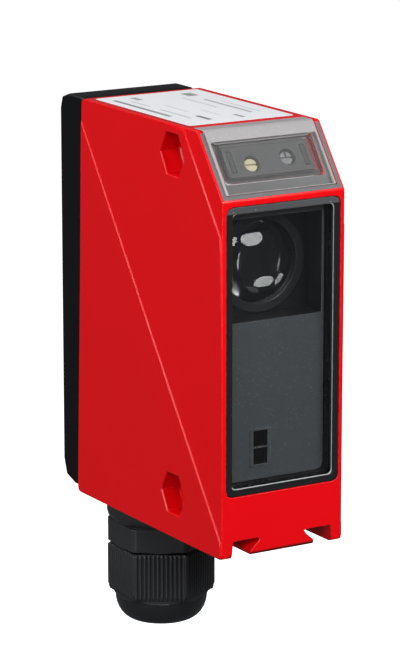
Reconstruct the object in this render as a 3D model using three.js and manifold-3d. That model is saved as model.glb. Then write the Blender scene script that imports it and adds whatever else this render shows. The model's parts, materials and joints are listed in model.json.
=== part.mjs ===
// Block-shaped photoelectric sensor: a die-cast housing with a front window over the optics, a clear
// cover over the controls on the sloping edge, a rear cap over the terminals and a cable gland below.
// Millimetres. +Z is up, +Y points to the rear and +X to the right of someone who faces the window.
// The origin is on the underside of the dovetail rail, below the two fixing holes.
import * as THREE from "three";
import { mergeVertices } from "three/addons/utils/BufferGeometryUtils.js";
import Module from "manifold-3d";

const wasm = await Module();
wasm.setup();

// ---- Housing: driving dimensions ----
const WIDTH = 30;
const HEIGHT = 90;
const DEPTH = 70;
const FIXING_SETBACK = 20; // front face to the fixing holes' axes
const FOOT_DROP = 0.4; // the side feet reach this far below the rail
const SLOPE_RUN = 10.06;
const SLOPE_DROP = 13.4;
const REAR_CAP_TOP = 11; // depth of the rear cap at the top edge
const REAR_CAP_BOTTOM = 7.8; // and at the bottom edge
const WALL = 2.6;
const EDGE_RADIUS = 0.8; // rounding of the flanks' edges
const CORNER_RADIUS = 1.2; // rounding of the corners seen from the side
const FIT = 0.3; // clearance between pieces that seat on each other
const SLIDE_FIT = 0.15; // clearance beside a piece that is pressed in by hand

// ---- Side relief: two shallow shingles on each flank ----
const RELIEF_HEIGHT = 0.35;
const RELIEF_ANGLE = THREE.MathUtils.degToRad(54.2);
const RELIEF_LINES = [
  { frontRise: 3.4, width: 19 }, // where the line meets the front face, above the feet
  { frontRise: 68.4, width: 18 },
];

// ---- Fixing holes ----
const FIXING_RISE = 9.8; // lower hole above the feet
const FIXING_DROP = 6.4; // upper hole below the top
const FIXING_BORE = 5.3;
const NUT_ACROSS_FLATS = 8.4;
const NUT_POCKET_DEPTH = 4.2;
const NUT_POCKET_CHAMFER = 0.3;

// ---- Dovetail rail between the feet ----
const FOOT_WIDTH = 2.7;
const GROOVE_HEIGHT = 3.9;
const RAIL_NECK = 4.9; // half width where the rail meets the housing
const RAIL_FLARE = 7.9; // half width at the rail's underside
const RAIL_EDGE = 0.9; // height of the rail's upright edge
const GROOVE_LENGTH = 36.5;

// ---- Front window ----
const FRAME_RIM = 1.1; // painted metal left beside the window frame
const FRAME_SILL = 13.65; // frame's lower edge above the feet
const FRAME_HEAD = 1.3; // painted metal between the frame and the slope
const FRAME_BAND = 1.4;
const FRAME_CORNER = 1.7;
const FRAME_DEPTH = 2.9;
const FRAME_INSET = 0.1;
const FRAME_LIP = 0.9; // frame thickness in front of the glass
const GLASS_THICKNESS = 1.7;
const GLASS_HOLD = 0.6; // glass hidden behind the frame on each side

// ---- Mask and optics behind the window ----
const MASK_SETBACK = 4;
const MASK_THICKNESS = 1;
const MASK_CLEARANCE = 0.3;
const MASK_SIDE = 0.6;
const MASK_HEAD_BAND = 1.6;
const LENS_OPENING_HEIGHT = 22;
const TUNNEL_DEPTH = 5.6;
const PEEPHOLE = 3.5;
const PEEPHOLE_WEB = 0.3;
const PEEPHOLE_X = -3.6;
const PEEPHOLE_RISE = 3.3; // lower peephole above the mask's lower edge
const PEEPHOLE_BORDER = 0.8;
const LENS_RADIUS = 9.5;
const LENS_RIM = 2;
const LENS_FRONT_SAG = 3.4;
const LENS_BACK_SAG = 1.6;
const LENS_SEAT_DEPTH = 3;
const LENS_LEDGE = 1.1; // seat left around the light bore
const RETAINER_THICKNESS = 0.7;
const RETAINER_OVERHANG = 1.4;
const RETAINER_GRIP = 0.6; // how far the retainer covers the lens's rim
const CARRIER_UPPER_DEPTH = 22;
const CARRIER_LOWER_DEPTH = 15;
const CARRIER_STEP_BELOW_LENS = 13;
const SPLITTER_SETBACK = 11; // centre of the beam splitter behind the carrier's front
const SPLITTER_SIZE = 13;
const SPLITTER_THICKNESS = 0.8;
const DIODE_RADIUS = 2.5;
const DIODE_LENGTH = 5.5;
const BOARD = 1.2;
const MAIN_BOARD_SETBACK = 36.6;

// ---- Inside walls ----
const PARTITION_SETBACK = 39.5;
const PARTITION = 1.5;
const CHAMBER_CORNER = 1.5;
const CHAMBER_HEAD = 1; // roof of the optics chamber below the nose edge
const TERMINAL_FLOOR = 5.2;
const TERMINAL_ROOF = 3.4;

// ---- Controls on the slope ----
const COVER_RIM = 1.5; // painted metal beside the cover
const COVER_START = 1.5; // painted metal below the cover, along the slope
const COVER_THICKNESS = 1;
const COVER_LIP_LENGTH = 3.7; // cover's reach along the top, behind the slope's edge
const TONGUE_MARGIN = 1.6; // cover edge to its sealing tongue
const TONGUE_START = 2.9;
const TONGUE_LENGTH = 9.8;
const TONGUE_WIDTH = 1;
const TONGUE_DEPTH = 1.2;
const PANEL_THICKNESS = 2;
const PANEL_LEDGE = 0.5; // ledge under the panel's edge, around the well
const WELL_DEPTH = 8.5;
const FLEX_PASSAGE = 3.6;
const PASSAGE_DEPTH = 15.5;
const FLEX_THICKNESS = 0.3;
const SENSITIVITY_AT = [-4.3, 8.45];
const MODE_AT = [4.65, 9.2];
const ROTOR_RADIUS = 1.6;
const ROTOR_SLOT = 0.5;
const ADJUSTER_SIZE = 3.8;
const LIGHT_SLOT = [1, 4.7];
const LIGHT_SLOT_X = 9;
const LIGHT_SLOT_AT = 9.3;

// ---- Rear cap ----
const CAP_SIDE_INSET = 0.6;
const CAP_TOP_INSET = 0.1;
const CAP_BOTTOM_INSET = 1;
const CAP_TOP_RADIUS = 3.4;
const CAP_BOTTOM_RADIUS = 5;
const CAP_WALL = 1.8;
const SPIGOT_LENGTH = 3.4;
const SPIGOT_WALL = 1.2;
const NOTCH = [6.3, 3, 1]; // finger notch in the cap's top edge: width, depth, height
const GASKET_WIDTH = 1.1;
const GASKET_THICKNESS = 0.9;
const CAP_SCREW_RADIUS = 1.45;
const CAP_SCREW_HEAD = 2.8;
const CAP_SCREW_HEAD_DEPTH = 2;
const CAP_SCREW_GRIP = 6; // thread engaged in the housing's post
const SCREW_CLEARANCE = 0.2;
const POST_RADIUS = 3.2;
const COLUMN_WALL = 0.8; // plastic around a captive screw's head

// ---- Terminals ----
const POLES = 5;
const POLE_PITCH = 8.2;
const TERMINAL_WIDTH = 19;
const TERMINAL_DEPTH = 11.5;
const TERMINAL_DROP = 13.6; // block's top below the housing's top
const TERMINAL_SCREW_RADIUS = 1.9;
const TERMINAL_SCREW_LENGTH = 5;
const TERMINAL_WELL_DEPTH = 6.6;
const WIRE_ENTRY = 3.6;

// ---- Label ----
const LABEL_MARGIN = 2;
const LABEL_SETBACK = 16.4;
const LABEL_LENGTH = 40.3;
const LABEL_THICKNESS = 0.25;
const LABEL_BED = 0.05;

// ---- Cable gland ----
const GLAND_SETBACK = 50.6;
const GLAND_THREAD = 7.85;
const GLAND_THREAD_REACH = 5;
const FLANGE_HEIGHT = 5.1;
const BODY_HEX_HEIGHT = 5.5;
const CAP_THREAD = 9.2;
const CAP_THREAD_LENGTH = 8.6;
const GLAND_BORE = 5.5;
const SEAL_POCKET_WALL = 2.3; // body wall around the cable seal
const NUT_GAP = 0.4;
const NUT_WALL = 1.15; // nut wall at the middle of a flat
const NUT_HEX_HEIGHT = 11.6;
const NUT_CHAMFER = 2.1;
const DOME_HEIGHT = 5.6;
const DOME_FLAT = 6.2; // radius of the flat ring round the cable hole
const CABLE_HOLE = 4.8;
const HEX_TURN = THREE.MathUtils.degToRad(-32); // the body's corner points to the front left

// ---- Places worked out from the dimensions above ----
const HALF = WIDTH / 2;
const FRONT = -FIXING_SETBACK;
const BACK = FRONT + DEPTH;
const BOTTOM = -FOOT_DROP;
const TOP = BOTTOM + HEIGHT;
const NOSE = TOP - SLOPE_DROP;
const SLOPE_TOP = FRONT + SLOPE_RUN;
const REAR_TOP = BACK - REAR_CAP_TOP;
const REAR_BOTTOM = BACK - REAR_CAP_BOTTOM;
const CHAMBER_HALF = HALF - WALL;
const LOWER_FIXING = BOTTOM + FIXING_RISE;
const UPPER_FIXING = TOP - FIXING_DROP;
const FRAME_HALF = HALF - FRAME_RIM;
const FRAME_LOW = BOTTOM + FRAME_SILL;
const FRAME_HIGH = NOSE - FRAME_HEAD;
const RECESS_FLOOR = FRONT + FRAME_DEPTH + FRAME_INSET + FIT;
const CHAMBER_LOW = FRAME_LOW + FRAME_BAND + 0.3;
const CHAMBER_HIGH = NOSE - CHAMBER_HEAD;
const PARTITION_FRONT = FRONT + PARTITION_SETBACK;
const PARTITION_BACK = PARTITION_FRONT + PARTITION;
const ELECTRONICS_START = FIXING_SETBACK + FRONT + NUT_ACROSS_FLATS;
const TERMINAL_LOW = BOTTOM + TERMINAL_FLOOR;
const TERMINAL_HIGH = TOP - TERMINAL_ROOF;
const MASK_FRONT = FRONT + MASK_SETBACK;
const MASK_BACK = MASK_FRONT + MASK_THICKNESS;
const MASK_HALF = CHAMBER_HALF - MASK_CLEARANCE;
const MASK_LOW = CHAMBER_LOW + MASK_CLEARANCE;
const MASK_HIGH = FRAME_HIGH - FRAME_BAND - MASK_CLEARANCE;
const OPENING_HIGH = MASK_HIGH - MASK_HEAD_BAND;
const OPENING_LOW = OPENING_HIGH - LENS_OPENING_HEIGHT;
const LENS_Z = (OPENING_HIGH + OPENING_LOW) / 2;
const PEEPHOLE_LOW = MASK_LOW + PEEPHOLE_RISE;
const TUNNEL_BACK = MASK_FRONT + TUNNEL_DEPTH;
const CARRIER_FRONT = TUNNEL_BACK + RETAINER_THICKNESS + FIT + SLIDE_FIT;
const LIGHT_BORE = LENS_RADIUS - LENS_LEDGE;
const CARRIER_HALF = CHAMBER_HALF - MASK_CLEARANCE;
const CARRIER_STEP = LENS_Z - CARRIER_STEP_BELOW_LENS;
const CARRIER_BACK = CARRIER_FRONT + CARRIER_UPPER_DEPTH;
const CARRIER_LOWER_BACK = CARRIER_FRONT + CARRIER_LOWER_DEPTH;
const CARRIER_HIGH = MASK_HIGH - FIT;
const CARRIER_SCREW_X = CARRIER_HALF - 3;
const CARRIER_SCREW_Z = CARRIER_STEP - 4;
const SPLITTER_Y = CARRIER_FRONT + SPLITTER_SETBACK;
const EMITTER_BOARD_FRONT = CARRIER_BACK + FIT;
const MAIN_BOARD_FRONT = FRONT + MAIN_BOARD_SETBACK;
const MAIN_BOARD_BACK = MAIN_BOARD_FRONT + BOARD;
const MAIN_BOARD_HALF = CHAMBER_HALF - 0.9;
const COVER_HALF = HALF - COVER_RIM;
const TONGUE_HALF = COVER_HALF - TONGUE_MARGIN;
const TONGUE_LOW = COVER_START + TONGUE_START;
const TONGUE_HIGH = TONGUE_LOW + TONGUE_LENGTH;
const PANEL_TOP = -(COVER_THICKNESS + FIT);
const PANEL_BOTTOM = PANEL_TOP - PANEL_THICKNESS;
const PANEL_HALF = TONGUE_HALF - TONGUE_WIDTH - 0.4;
const PANEL_LOW = TONGUE_LOW + TONGUE_WIDTH + 0.4;
const PANEL_HIGH = TONGUE_HIGH - TONGUE_WIDTH - 0.4;
const PANEL_SEAT = PANEL_BOTTOM - FIT;
const CONTROL_BOARD_TOP = -WELL_DEPTH + 0.9 + BOARD;
const SPIGOT_FRONT = REAR_TOP - SPIGOT_LENGTH;
const CAP_LOW = BOTTOM + CAP_BOTTOM_INSET;
const CAP_HIGH = TOP - CAP_TOP_INSET;
const CAP_HALF = HALF - CAP_SIDE_INSET;
const COLUMN_RADIUS = CAP_SCREW_HEAD + SCREW_CLEARANCE + COLUMN_WALL;
const CAP_SCREW_INSET = FIT + COLUMN_RADIUS;
const CAP_SCREW_X = CHAMBER_HALF - CAP_SCREW_INSET;
const CAP_SCREWS = [
  { name: "cap_screw_upper", x: -CAP_SCREW_X, z: TERMINAL_HIGH - CAP_SCREW_INSET },
  { name: "cap_screw_lower", x: CAP_SCREW_X, z: TERMINAL_LOW + CAP_SCREW_INSET },
];
const TERMINAL_FRONT = PARTITION_BACK + FIT;
const TERMINAL_BACK = TERMINAL_FRONT + TERMINAL_DEPTH;
const TERMINAL_TOP = TOP - TERMINAL_DROP;
const TERMINAL_BASE = TERMINAL_TOP - POLES * POLE_PITCH - 2;
const LINK_Z = TERMINAL_TOP - 24;
const GLAND_Y = FRONT + GLAND_SETBACK;
const SEAL_POCKET = CAP_THREAD - SEAL_POCKET_WALL;
const NUT_HEX = 2 * (CAP_THREAD + SCREW_CLEARANCE + NUT_WALL);
const BODY_HEX = NUT_HEX + FIT;
const FLANGE_RADIUS = BODY_HEX / Math.sqrt(3) - SLIDE_FIT;
const DOME_RADIUS = NUT_HEX / 2 - SLIDE_FIT;
const FLANGE_TOP = BOTTOM - FIT;
const HEX_TOP = FLANGE_TOP - FLANGE_HEIGHT;
const HEX_BOTTOM = HEX_TOP - BODY_HEX_HEIGHT;
const NUT_TOP = HEX_BOTTOM - NUT_GAP;
const NUT_BOTTOM = NUT_TOP - NUT_HEX_HEIGHT;
const THREAD_END = HEX_BOTTOM - CAP_THREAD_LENGTH;
const DOME_END = NUT_BOTTOM - DOME_HEIGHT;

const X = new THREE.Vector3(1, 0, 0);
const Y = new THREE.Vector3(0, 1, 0);
const Z = new THREE.Vector3(0, 0, 1);

// Which way a drawing's right, up and depth point when it is extruded along each axis.
const FACING = {
  x: new THREE.Matrix4().makeBasis(Y, Z, X),
  y: new THREE.Matrix4().makeBasis(X, Z, Y.clone().negate()),
  z: new THREE.Matrix4(),
};

// The slope's own frame: x across, y up the slope from its foot, z out of the surface.
const slopeUp = new THREE.Vector3(0, SLOPE_RUN, SLOPE_DROP).normalize();
const SLOPE_LENGTH = Math.hypot(SLOPE_RUN, SLOPE_DROP);
const slopeFrame = new THREE.Matrix4()
  .makeBasis(X, slopeUp, X.clone().cross(slopeUp))
  .setPosition(0, FRONT, NOSE);

// The rear opening leans forward: x to the left, y up the opening, z out to the rear.
const rearUp = new THREE.Vector3(0, REAR_TOP - REAR_BOTTOM, HEIGHT).normalize();
const rearFrame = new THREE.Matrix4()
  .makeBasis(X.clone().negate(), rearUp, rearUp.clone().cross(X))
  .setPosition(0, REAR_BOTTOM, BOTTOM);

// A closed outline through corners of [right, up, radius], each rounded by its own radius.
function outline(corners) {
  const shape = new THREE.Shape();
  const points = corners.map(([u, v]) => new THREE.Vector2(u, v));
  corners.forEach(([, , radius = 0], i) => {
    const corner = points[i];
    const back = points.at(i - 1).clone().sub(corner).normalize();
    const onward = points[(i + 1) % points.length].clone().sub(corner).normalize();
    const reach = radius / Math.tan(Math.acos(back.dot(onward)) / 2);
    const start = corner.clone().addScaledVector(back, reach);
    const end = corner.clone().addScaledVector(onward, reach);
    if (i === 0) shape.moveTo(start.x, start.y);
    else shape.lineTo(start.x, start.y);
    if (radius) shape.quadraticCurveTo(corner.x, corner.y, end.x, end.y);
  });
  return shape;
}

function rectangle([u0, u1], [v0, v1], radius = 0) {
  return outline([
    [u0, v0, radius],
    [u1, v0, radius],
    [u1, v1, radius],
    [u0, v1, radius],
  ]);
}

function frameOf(outer, inner) {
  outer.holes.push(inner);
  return outer;
}

// An outline pushed along an axis from one coordinate to another, with rounded end edges.
function extrude(shape, axis, [from, to], bevel = 0, curveSegments = 2) {
  const geometry = new THREE.ExtrudeGeometry(shape, {
    depth: to - from - 2 * bevel,
    bevelEnabled: bevel > 0,
    bevelSize: bevel,
    bevelThickness: bevel,
    bevelOffset: -bevel,
    bevelSegments: bevel === EDGE_RADIUS ? 3 : 1,
    curveSegments,
  });
  geometry.translate(0, 0, bevel + (axis === "y" ? -to : from));
  return geometry.applyMatrix4(FACING[axis]);
}

function block([x0, x1], [y0, y1], [z0, z1]) {
  const geometry = new THREE.BoxGeometry(x1 - x0, y1 - y0, z1 - z0);
  return geometry.translate((x0 + x1) / 2, (y0 + y1) / 2, (z0 + z1) / 2);
}

// A round bar or cone along an axis; the centre is given on the two other axes in order.
function round(axis, [from, to], [a, b], radius, endRadius = radius, sides = 16) {
  const geometry = new THREE.CylinderGeometry(endRadius, radius, to - from, sides);
  const middle = (from + to) / 2;
  if (axis === "x") return geometry.rotateZ(-Math.PI / 2).translate(middle, a, b);
  if (axis === "y") return geometry.translate(a, middle, b);
  return geometry.rotateX(Math.PI / 2).translate(a, b, middle);
}

// A profile of [radius, height] points turned about the vertical.
function turned(profile, sides = 24) {
  const points = profile.map(([radius, height]) => new THREE.Vector2(radius, height));
  return new THREE.LatheGeometry(points, sides).rotateX(Math.PI / 2);
}

// A closed solid, with shared vertices merged, collapsed faces dropped and faces turned outwards.
function solid(geometry) {
  const bare = geometry.clone();
  bare.deleteAttribute("normal");
  bare.deleteAttribute("uv");
  const merged = mergeVertices(bare, 1e-4);
  const spots = merged.attributes.position;
  const faces = [];
  for (let i = 0; i < merged.index.count; i += 3) {
    const [a, b, c] = merged.index.array.slice(i, i + 3);
    if (a !== b && b !== c && c !== a) faces.push(a, b, c);
  }
  const corner = (i) => new THREE.Vector3().fromBufferAttribute(spots, i);
  let volume = 0;
  for (let i = 0; i < faces.length; i += 3) {
    volume += corner(faces[i]).dot(corner(faces[i + 1]).cross(corner(faces[i + 2])));
  }
  const outward = volume < 0 ? faces.reverse() : faces;
  return new wasm.Manifold(
    new wasm.Mesh({
      numProp: 3,
      vertProperties: new Float32Array(spots.array),
      triVerts: new Uint32Array(outward),
    }),
  );
}

const asSolid = (shape) => (shape.isBufferGeometry ? solid(shape) : shape);
const join = (first, ...others) => others.reduce((sum, o) => sum.add(asSolid(o)), asSolid(first));
const cut = (first, ...tools) => tools.reduce((rest, t) => rest.subtract(asSolid(t)), asSolid(first));

function geometryOf(shape) {
  const made = asSolid(shape).getMesh();
  return new THREE.BufferGeometry()
    .setAttribute("position", new THREE.BufferAttribute(made.vertProperties, 3))
    .setIndex(new THREE.BufferAttribute(made.triVerts, 1));
}

// ---- Finishes ----
const finish = (color, roughness, metalness = 0, opacity = 1) =>
  new THREE.MeshStandardMaterial({
    color,
    roughness,
    metalness,
    opacity,
    transparent: opacity < 1,
  });
const PAINT = finish(0xd2101c, 0.32);
const BLACK_PLASTIC = finish(0x1b1c1e, 0.5);
const BLACK_GLOSS = finish(0x0d0e10, 0.2);
const MASK_PLASTIC = finish(0x3c4043, 0.6);
const GREY_PLASTIC = finish(0x8b8d92, 0.55);
const CREAM_PLASTIC = finish(0xe4dfc2, 0.5);
const DARK_LENS = finish(0x2a2b30, 0.25);
const GLASS = finish(0xdfe8ea, 0.05, 0, 0.3);
const CLEAR_PLASTIC = finish(0xd6dadd, 0.12, 0, 0.4);
const RUBBER = finish(0x141414, 0.85);
const LABEL_FILM = finish(0xf2f2f0, 0.45);
const BOARD_LACQUER = finish(0x1f5a38, 0.45);
const STEEL = finish(0xb9bcc0, 0.3, 1);
const BRASS = finish(0xb08d45, 0.35, 1);
const TERMINAL_PLASTIC = finish(0x5c6f66, 0.6);

function add(group, name, shape, material) {
  const mesh = new THREE.Mesh(geometryOf(shape), material);
  mesh.name = name;
  group.add(mesh);
  return mesh;
}

// ---- Housing ----
function housingBlank() {
  const side = outline([
    [FRONT, BOTTOM, CORNER_RADIUS],
    [REAR_BOTTOM, BOTTOM, CORNER_RADIUS],
    [REAR_TOP, TOP, CORNER_RADIUS],
    [SLOPE_TOP, TOP, CORNER_RADIUS],
    [FRONT, NOSE, CORNER_RADIUS],
  ]);
  const outer = HALF + RELIEF_HEIGHT;
  return extrude(side, "x", [-outer, outer], EDGE_RADIUS);
}

// One shingle: highest along its line, falling back to the plain flank over its width.
function shingle({ frontRise, width }, flank) {
  const step = RELIEF_HEIGHT;
  const section = outline([
    [0, -0.5],
    [width, -0.5],
    [width, 0],
    [step / 2, step * 0.97],
    [step / 6, step * 0.85],
    [0, step * 0.6],
  ]);
  const reach = HEIGHT + DEPTH;
  const along = new THREE.Vector3(0, Math.cos(RELIEF_ANGLE), Math.sin(RELIEF_ANGLE));
  const across = new THREE.Vector3(0, Math.sin(RELIEF_ANGLE), -Math.cos(RELIEF_ANGLE));
  const place = new THREE.Matrix4()
    .makeBasis(across, X.clone().multiplyScalar(flank), along)
    .setPosition(flank * HALF, FRONT, BOTTOM + frontRise);
  return extrude(section, "z", [-reach, reach]).applyMatrix4(place);
}

// What is planed off one flank so that only the shingles stand proud of it.
function flankCut(flank) {
  const outside = [HALF, HALF + 2 * RELIEF_HEIGHT].map((x) => flank * x).sort((a, b) => a - b);
  const slab = block(outside, [FRONT - 1, BACK + 1], [BOTTOM - 1, TOP + 1]);
  return cut(slab, ...RELIEF_LINES.map((line) => shingle(line, flank)));
}

function nutPocket(flank, z) {
  const corner = NUT_ACROSS_FLATS / Math.sqrt(3);
  const hexagon = (from, to, radius, endRadius) => {
    const span = [from, to].map((x) => flank * x).sort((a, b) => a - b);
    const [first, last] = flank > 0 ? [radius, endRadius] : [endRadius, radius];
    return round("x", span, [0, 0], first, last, 6).rotateX(Math.PI / 2).translate(0, 0, z);
  };
  const mouth = HALF - NUT_POCKET_CHAMFER;
  return join(
    hexagon(HALF - NUT_POCKET_DEPTH, mouth, corner, corner),
    hexagon(mouth, HALF + NUT_POCKET_CHAMFER, corner, corner + 2 * NUT_POCKET_CHAMFER),
  );
}

function fixingHole(z) {
  const bore = round("x", [-WIDTH, WIDTH], [0, z], FIXING_BORE / 2);
  return join(bore, nutPocket(1, z), nutPocket(-1, z));
}

// The two grooves that leave a dovetail rail between the feet.
function dovetailGrooves() {
  const ceiling = BOTTOM + GROOVE_HEIGHT;
  const inner = HALF - FOOT_WIDTH;
  const side = (flank) =>
    outline([
      [flank * RAIL_NECK, ceiling, 0.5],
      [flank * inner, ceiling, 0.6],
      [flank * (inner + 0.3), BOTTOM - 1],
      [flank * RAIL_FLARE, BOTTOM - 1],
      [flank * RAIL_FLARE, RAIL_EDGE, 0.3],
    ]);
  const span = [FRONT - 1, FRONT + GROOVE_LENGTH];
  const railTrim = block([-inner, inner], span, [BOTTOM - 1, 0]);
  return join(extrude(side(1), "y", span), extrude(side(-1), "y", span), railTrim);
}

function windowOpening() {
  const gap = SLIDE_FIT;
  const recess = rectangle(
    [-FRAME_HALF - gap, FRAME_HALF + gap],
    [FRAME_LOW - gap, FRAME_HIGH + gap],
    FRAME_CORNER,
  );
  const throat = rectangle(
    [-CHAMBER_HALF, CHAMBER_HALF],
    [CHAMBER_LOW, FRAME_HIGH - FRAME_BAND],
    CHAMBER_CORNER,
  );
  return join(
    extrude(recess, "y", [FRONT - 1, RECESS_FLOOR]),
    extrude(throat, "y", [RECESS_FLOOR - 1, RECESS_FLOOR + 3]),
  );
}

function opticsChamber() {
  const span = [-CHAMBER_HALF, CHAMBER_HALF];
  const main = rectangle(span, [CHAMBER_LOW, CHAMBER_HIGH], CHAMBER_CORNER);
  const behind = rectangle(span, [TERMINAL_LOW, TERMINAL_HIGH], CHAMBER_CORNER);
  return join(
    extrude(main, "y", [RECESS_FLOOR + 2, PARTITION_FRONT]),
    extrude(behind, "y", [ELECTRONICS_START, PARTITION_FRONT]),
  );
}

function terminalChamber() {
  const room = rectangle(
    [-CHAMBER_HALF, CHAMBER_HALF],
    [TERMINAL_LOW, TERMINAL_HIGH],
    CHAMBER_CORNER,
  );
  return extrude(room, "y", [PARTITION_BACK, BACK]);
}

// The cover's outline seen from the side, grown by a gap on every hidden side.
function coverSection(gap, proud = 0) {
  const at = (along, out) => {
    const spot = new THREE.Vector3(0, along, out).applyMatrix4(slopeFrame);
    return [spot.y, spot.z];
  };
  const depth = COVER_THICKNESS + gap;
  const lipEnd = SLOPE_TOP + COVER_LIP_LENGTH + gap;
  const start = COVER_START - gap;
  const slopeCos = SLOPE_RUN / SLOPE_LENGTH;
  const slopeSin = SLOPE_DROP / SLOPE_LENGTH;
  const innerCorner = SLOPE_LENGTH - (depth * (1 - slopeCos)) / slopeSin;
  return outline([
    at(start, proud),
    at(start, -depth),
    at(innerCorner, -depth),
    [lipEnd, TOP - depth],
    [lipEnd, TOP + proud],
    [SLOPE_TOP - proud / 2, TOP + proud, CORNER_RADIUS],
  ]);
}

function controlRecess() {
  const coverBed = extrude(coverSection(SLIDE_FIT, 1), "x", [
    -COVER_HALF - SLIDE_FIT,
    COVER_HALF + SLIDE_FIT,
  ]);
  const ringHalf = TONGUE_HALF + FIT;
  const ring = rectangle([-ringHalf, ringHalf], [TONGUE_LOW - FIT, TONGUE_HIGH + FIT], 0.8);
  const wellHalf = PANEL_HALF - 1;
  const well = [PANEL_LOW + PANEL_LEDGE, PANEL_HIGH - PANEL_LEDGE];
  const passage = block(
    [-wellHalf, wellHalf],
    [well[0], well[0] + FLEX_PASSAGE],
    [-PASSAGE_DEPTH, PANEL_SEAT],
  );
  return join(
    coverBed,
    extrude(ring, "z", [PANEL_SEAT, 1]).applyMatrix4(slopeFrame),
    block([-wellHalf, wellHalf], well, [-WELL_DEPTH, 0]).applyMatrix4(slopeFrame),
    passage.applyMatrix4(slopeFrame),
  );
}

function labelBed() {
  const half = HALF - LABEL_MARGIN + SLIDE_FIT;
  const start = FRONT + LABEL_SETBACK;
  const span = [start - SLIDE_FIT, start + LABEL_LENGTH + SLIDE_FIT];
  return extrude(rectangle([-half, half], span, 1), "z", [TOP - LABEL_THICKNESS - LABEL_BED, TOP + 1]);
}

function rearRing([inner, outer], [from, to]) {
  const tall = HEIGHT / rearUp.z;
  const ring = (inset) => rectangle([-HALF + inset, HALF - inset], [inset, tall - inset], 2);
  return extrude(frameOf(ring(inner), ring(outer)), "z", [from, to]).applyMatrix4(rearFrame);
}

const GASKET_INSET = (WALL - GASKET_WIDTH) / 2;

function rearGroove() {
  const side = FIT;
  return rearRing([GASKET_INSET - side, GASKET_INSET + GASKET_WIDTH + side], [-GASKET_THICKNESS - FIT, 1]);
}

function screwPost({ x, z }) {
  return round("y", [PARTITION_BACK - 0.5, SPIGOT_FRONT - FIT], [x, z], POST_RADIUS);
}

const screwHole = ({ x, z }, radius, span) => round("y", span, [x, z], radius + SCREW_CLEARANCE);

// Posts on the partition that the main board and the optics carrier are screwed to.
const BOARD_SCREWS = [
  { name: "board_screw_upper", x: -MAIN_BOARD_HALF + 3, z: TERMINAL_HIGH - 13 },
  { name: "board_screw_lower", x: MAIN_BOARD_HALF - 3, z: CHAMBER_LOW + 6 },
];
const CARRIER_SCREWS = [
  { name: "carrier_screw_left", x: -CARRIER_SCREW_X, z: CARRIER_SCREW_Z },
  { name: "carrier_screw_right", x: CARRIER_SCREW_X, z: CARRIER_SCREW_Z },
];
const SMALL_SCREW = 1.2;
const SMALL_SCREW_HEAD = 2.1;
const SMALL_SCREW_HEAD_HEIGHT = 1.3;
const SMALL_POST = 2.4;

function innerPosts() {
  const root = PARTITION_FRONT + 0.5;
  return [
    ...BOARD_SCREWS.map(({ x, z }) => round("y", [MAIN_BOARD_BACK + FIT, root], [x, z], SMALL_POST)),
    ...CARRIER_SCREWS.map(({ x, z }) =>
      round("y", [CARRIER_LOWER_BACK + FIT, root], [x, z], SMALL_POST),
    ),
  ];
}

function linkSlot(extra) {
  return [
    [-8 - extra, 8 + extra],
    [LINK_Z - 2 - extra, LINK_Z + 2 + extra],
  ];
}

function housing() {
  const [slotX, slotZ] = linkSlot(FIT);
  const screwSpan = [MAIN_BOARD_FRONT - 12, PARTITION_BACK + 0.2];
  const shell = cut(
    housingBlank(),
    flankCut(1),
    flankCut(-1),
    dovetailGrooves(),
    windowOpening(),
    opticsChamber(),
    terminalChamber(),
    controlRecess(),
    labelBed(),
    rearGroove(),
    fixingHole(LOWER_FIXING),
    fixingHole(UPPER_FIXING),
    block(slotX, [PARTITION_FRONT - 1, PARTITION_BACK + 1], slotZ),
    round("z", [BOTTOM - 1, TERMINAL_LOW + 1], [0, GLAND_Y], GLAND_THREAD + SCREW_CLEARANCE, undefined, 32),
  );
  const posts = join(shell, ...CAP_SCREWS.map(screwPost), ...innerPosts());
  return cut(
    posts,
    ...CAP_SCREWS.map((at) =>
      screwHole(at, CAP_SCREW_RADIUS, [SPIGOT_FRONT - CAP_SCREW_GRIP - 2, SPIGOT_FRONT + 1]),
    ),
    ...[...BOARD_SCREWS, ...CARRIER_SCREWS].map((at) => screwHole(at, SMALL_SCREW, screwSpan)),
  );
}

// ---- Front window ----
function windowFrame() {
  const start = FRONT + FRAME_INSET;
  const ring = (band, [from, to], radius) => {
    const outer = rectangle([-FRAME_HALF, FRAME_HALF], [FRAME_LOW, FRAME_HIGH], FRAME_CORNER);
    const inner = rectangle(
      [-FRAME_HALF + band, FRAME_HALF - band],
      [FRAME_LOW + band, FRAME_HIGH - band],
      radius,
    );
    return extrude(frameOf(outer, inner), "y", [from, to]);
  };
  return join(
    ring(FRAME_BAND, [start, start + FRAME_LIP], 0.7),
    ring(FRAME_BAND - GLASS_HOLD, [start + FRAME_LIP - 0.05, start + FRAME_DEPTH], 0.9),
  );
}

function glassPane() {
  const edge = FRAME_BAND - GLASS_HOLD + SLIDE_FIT;
  const start = FRONT + FRAME_INSET + FRAME_LIP + SLIDE_FIT;
  const pane = rectangle(
    [-FRAME_HALF + edge, FRAME_HALF - edge],
    [FRAME_LOW + edge, FRAME_HIGH - edge],
    0.8,
  );
  return extrude(pane, "y", [start, start + GLASS_THICKNESS], 0.12);
}

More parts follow.
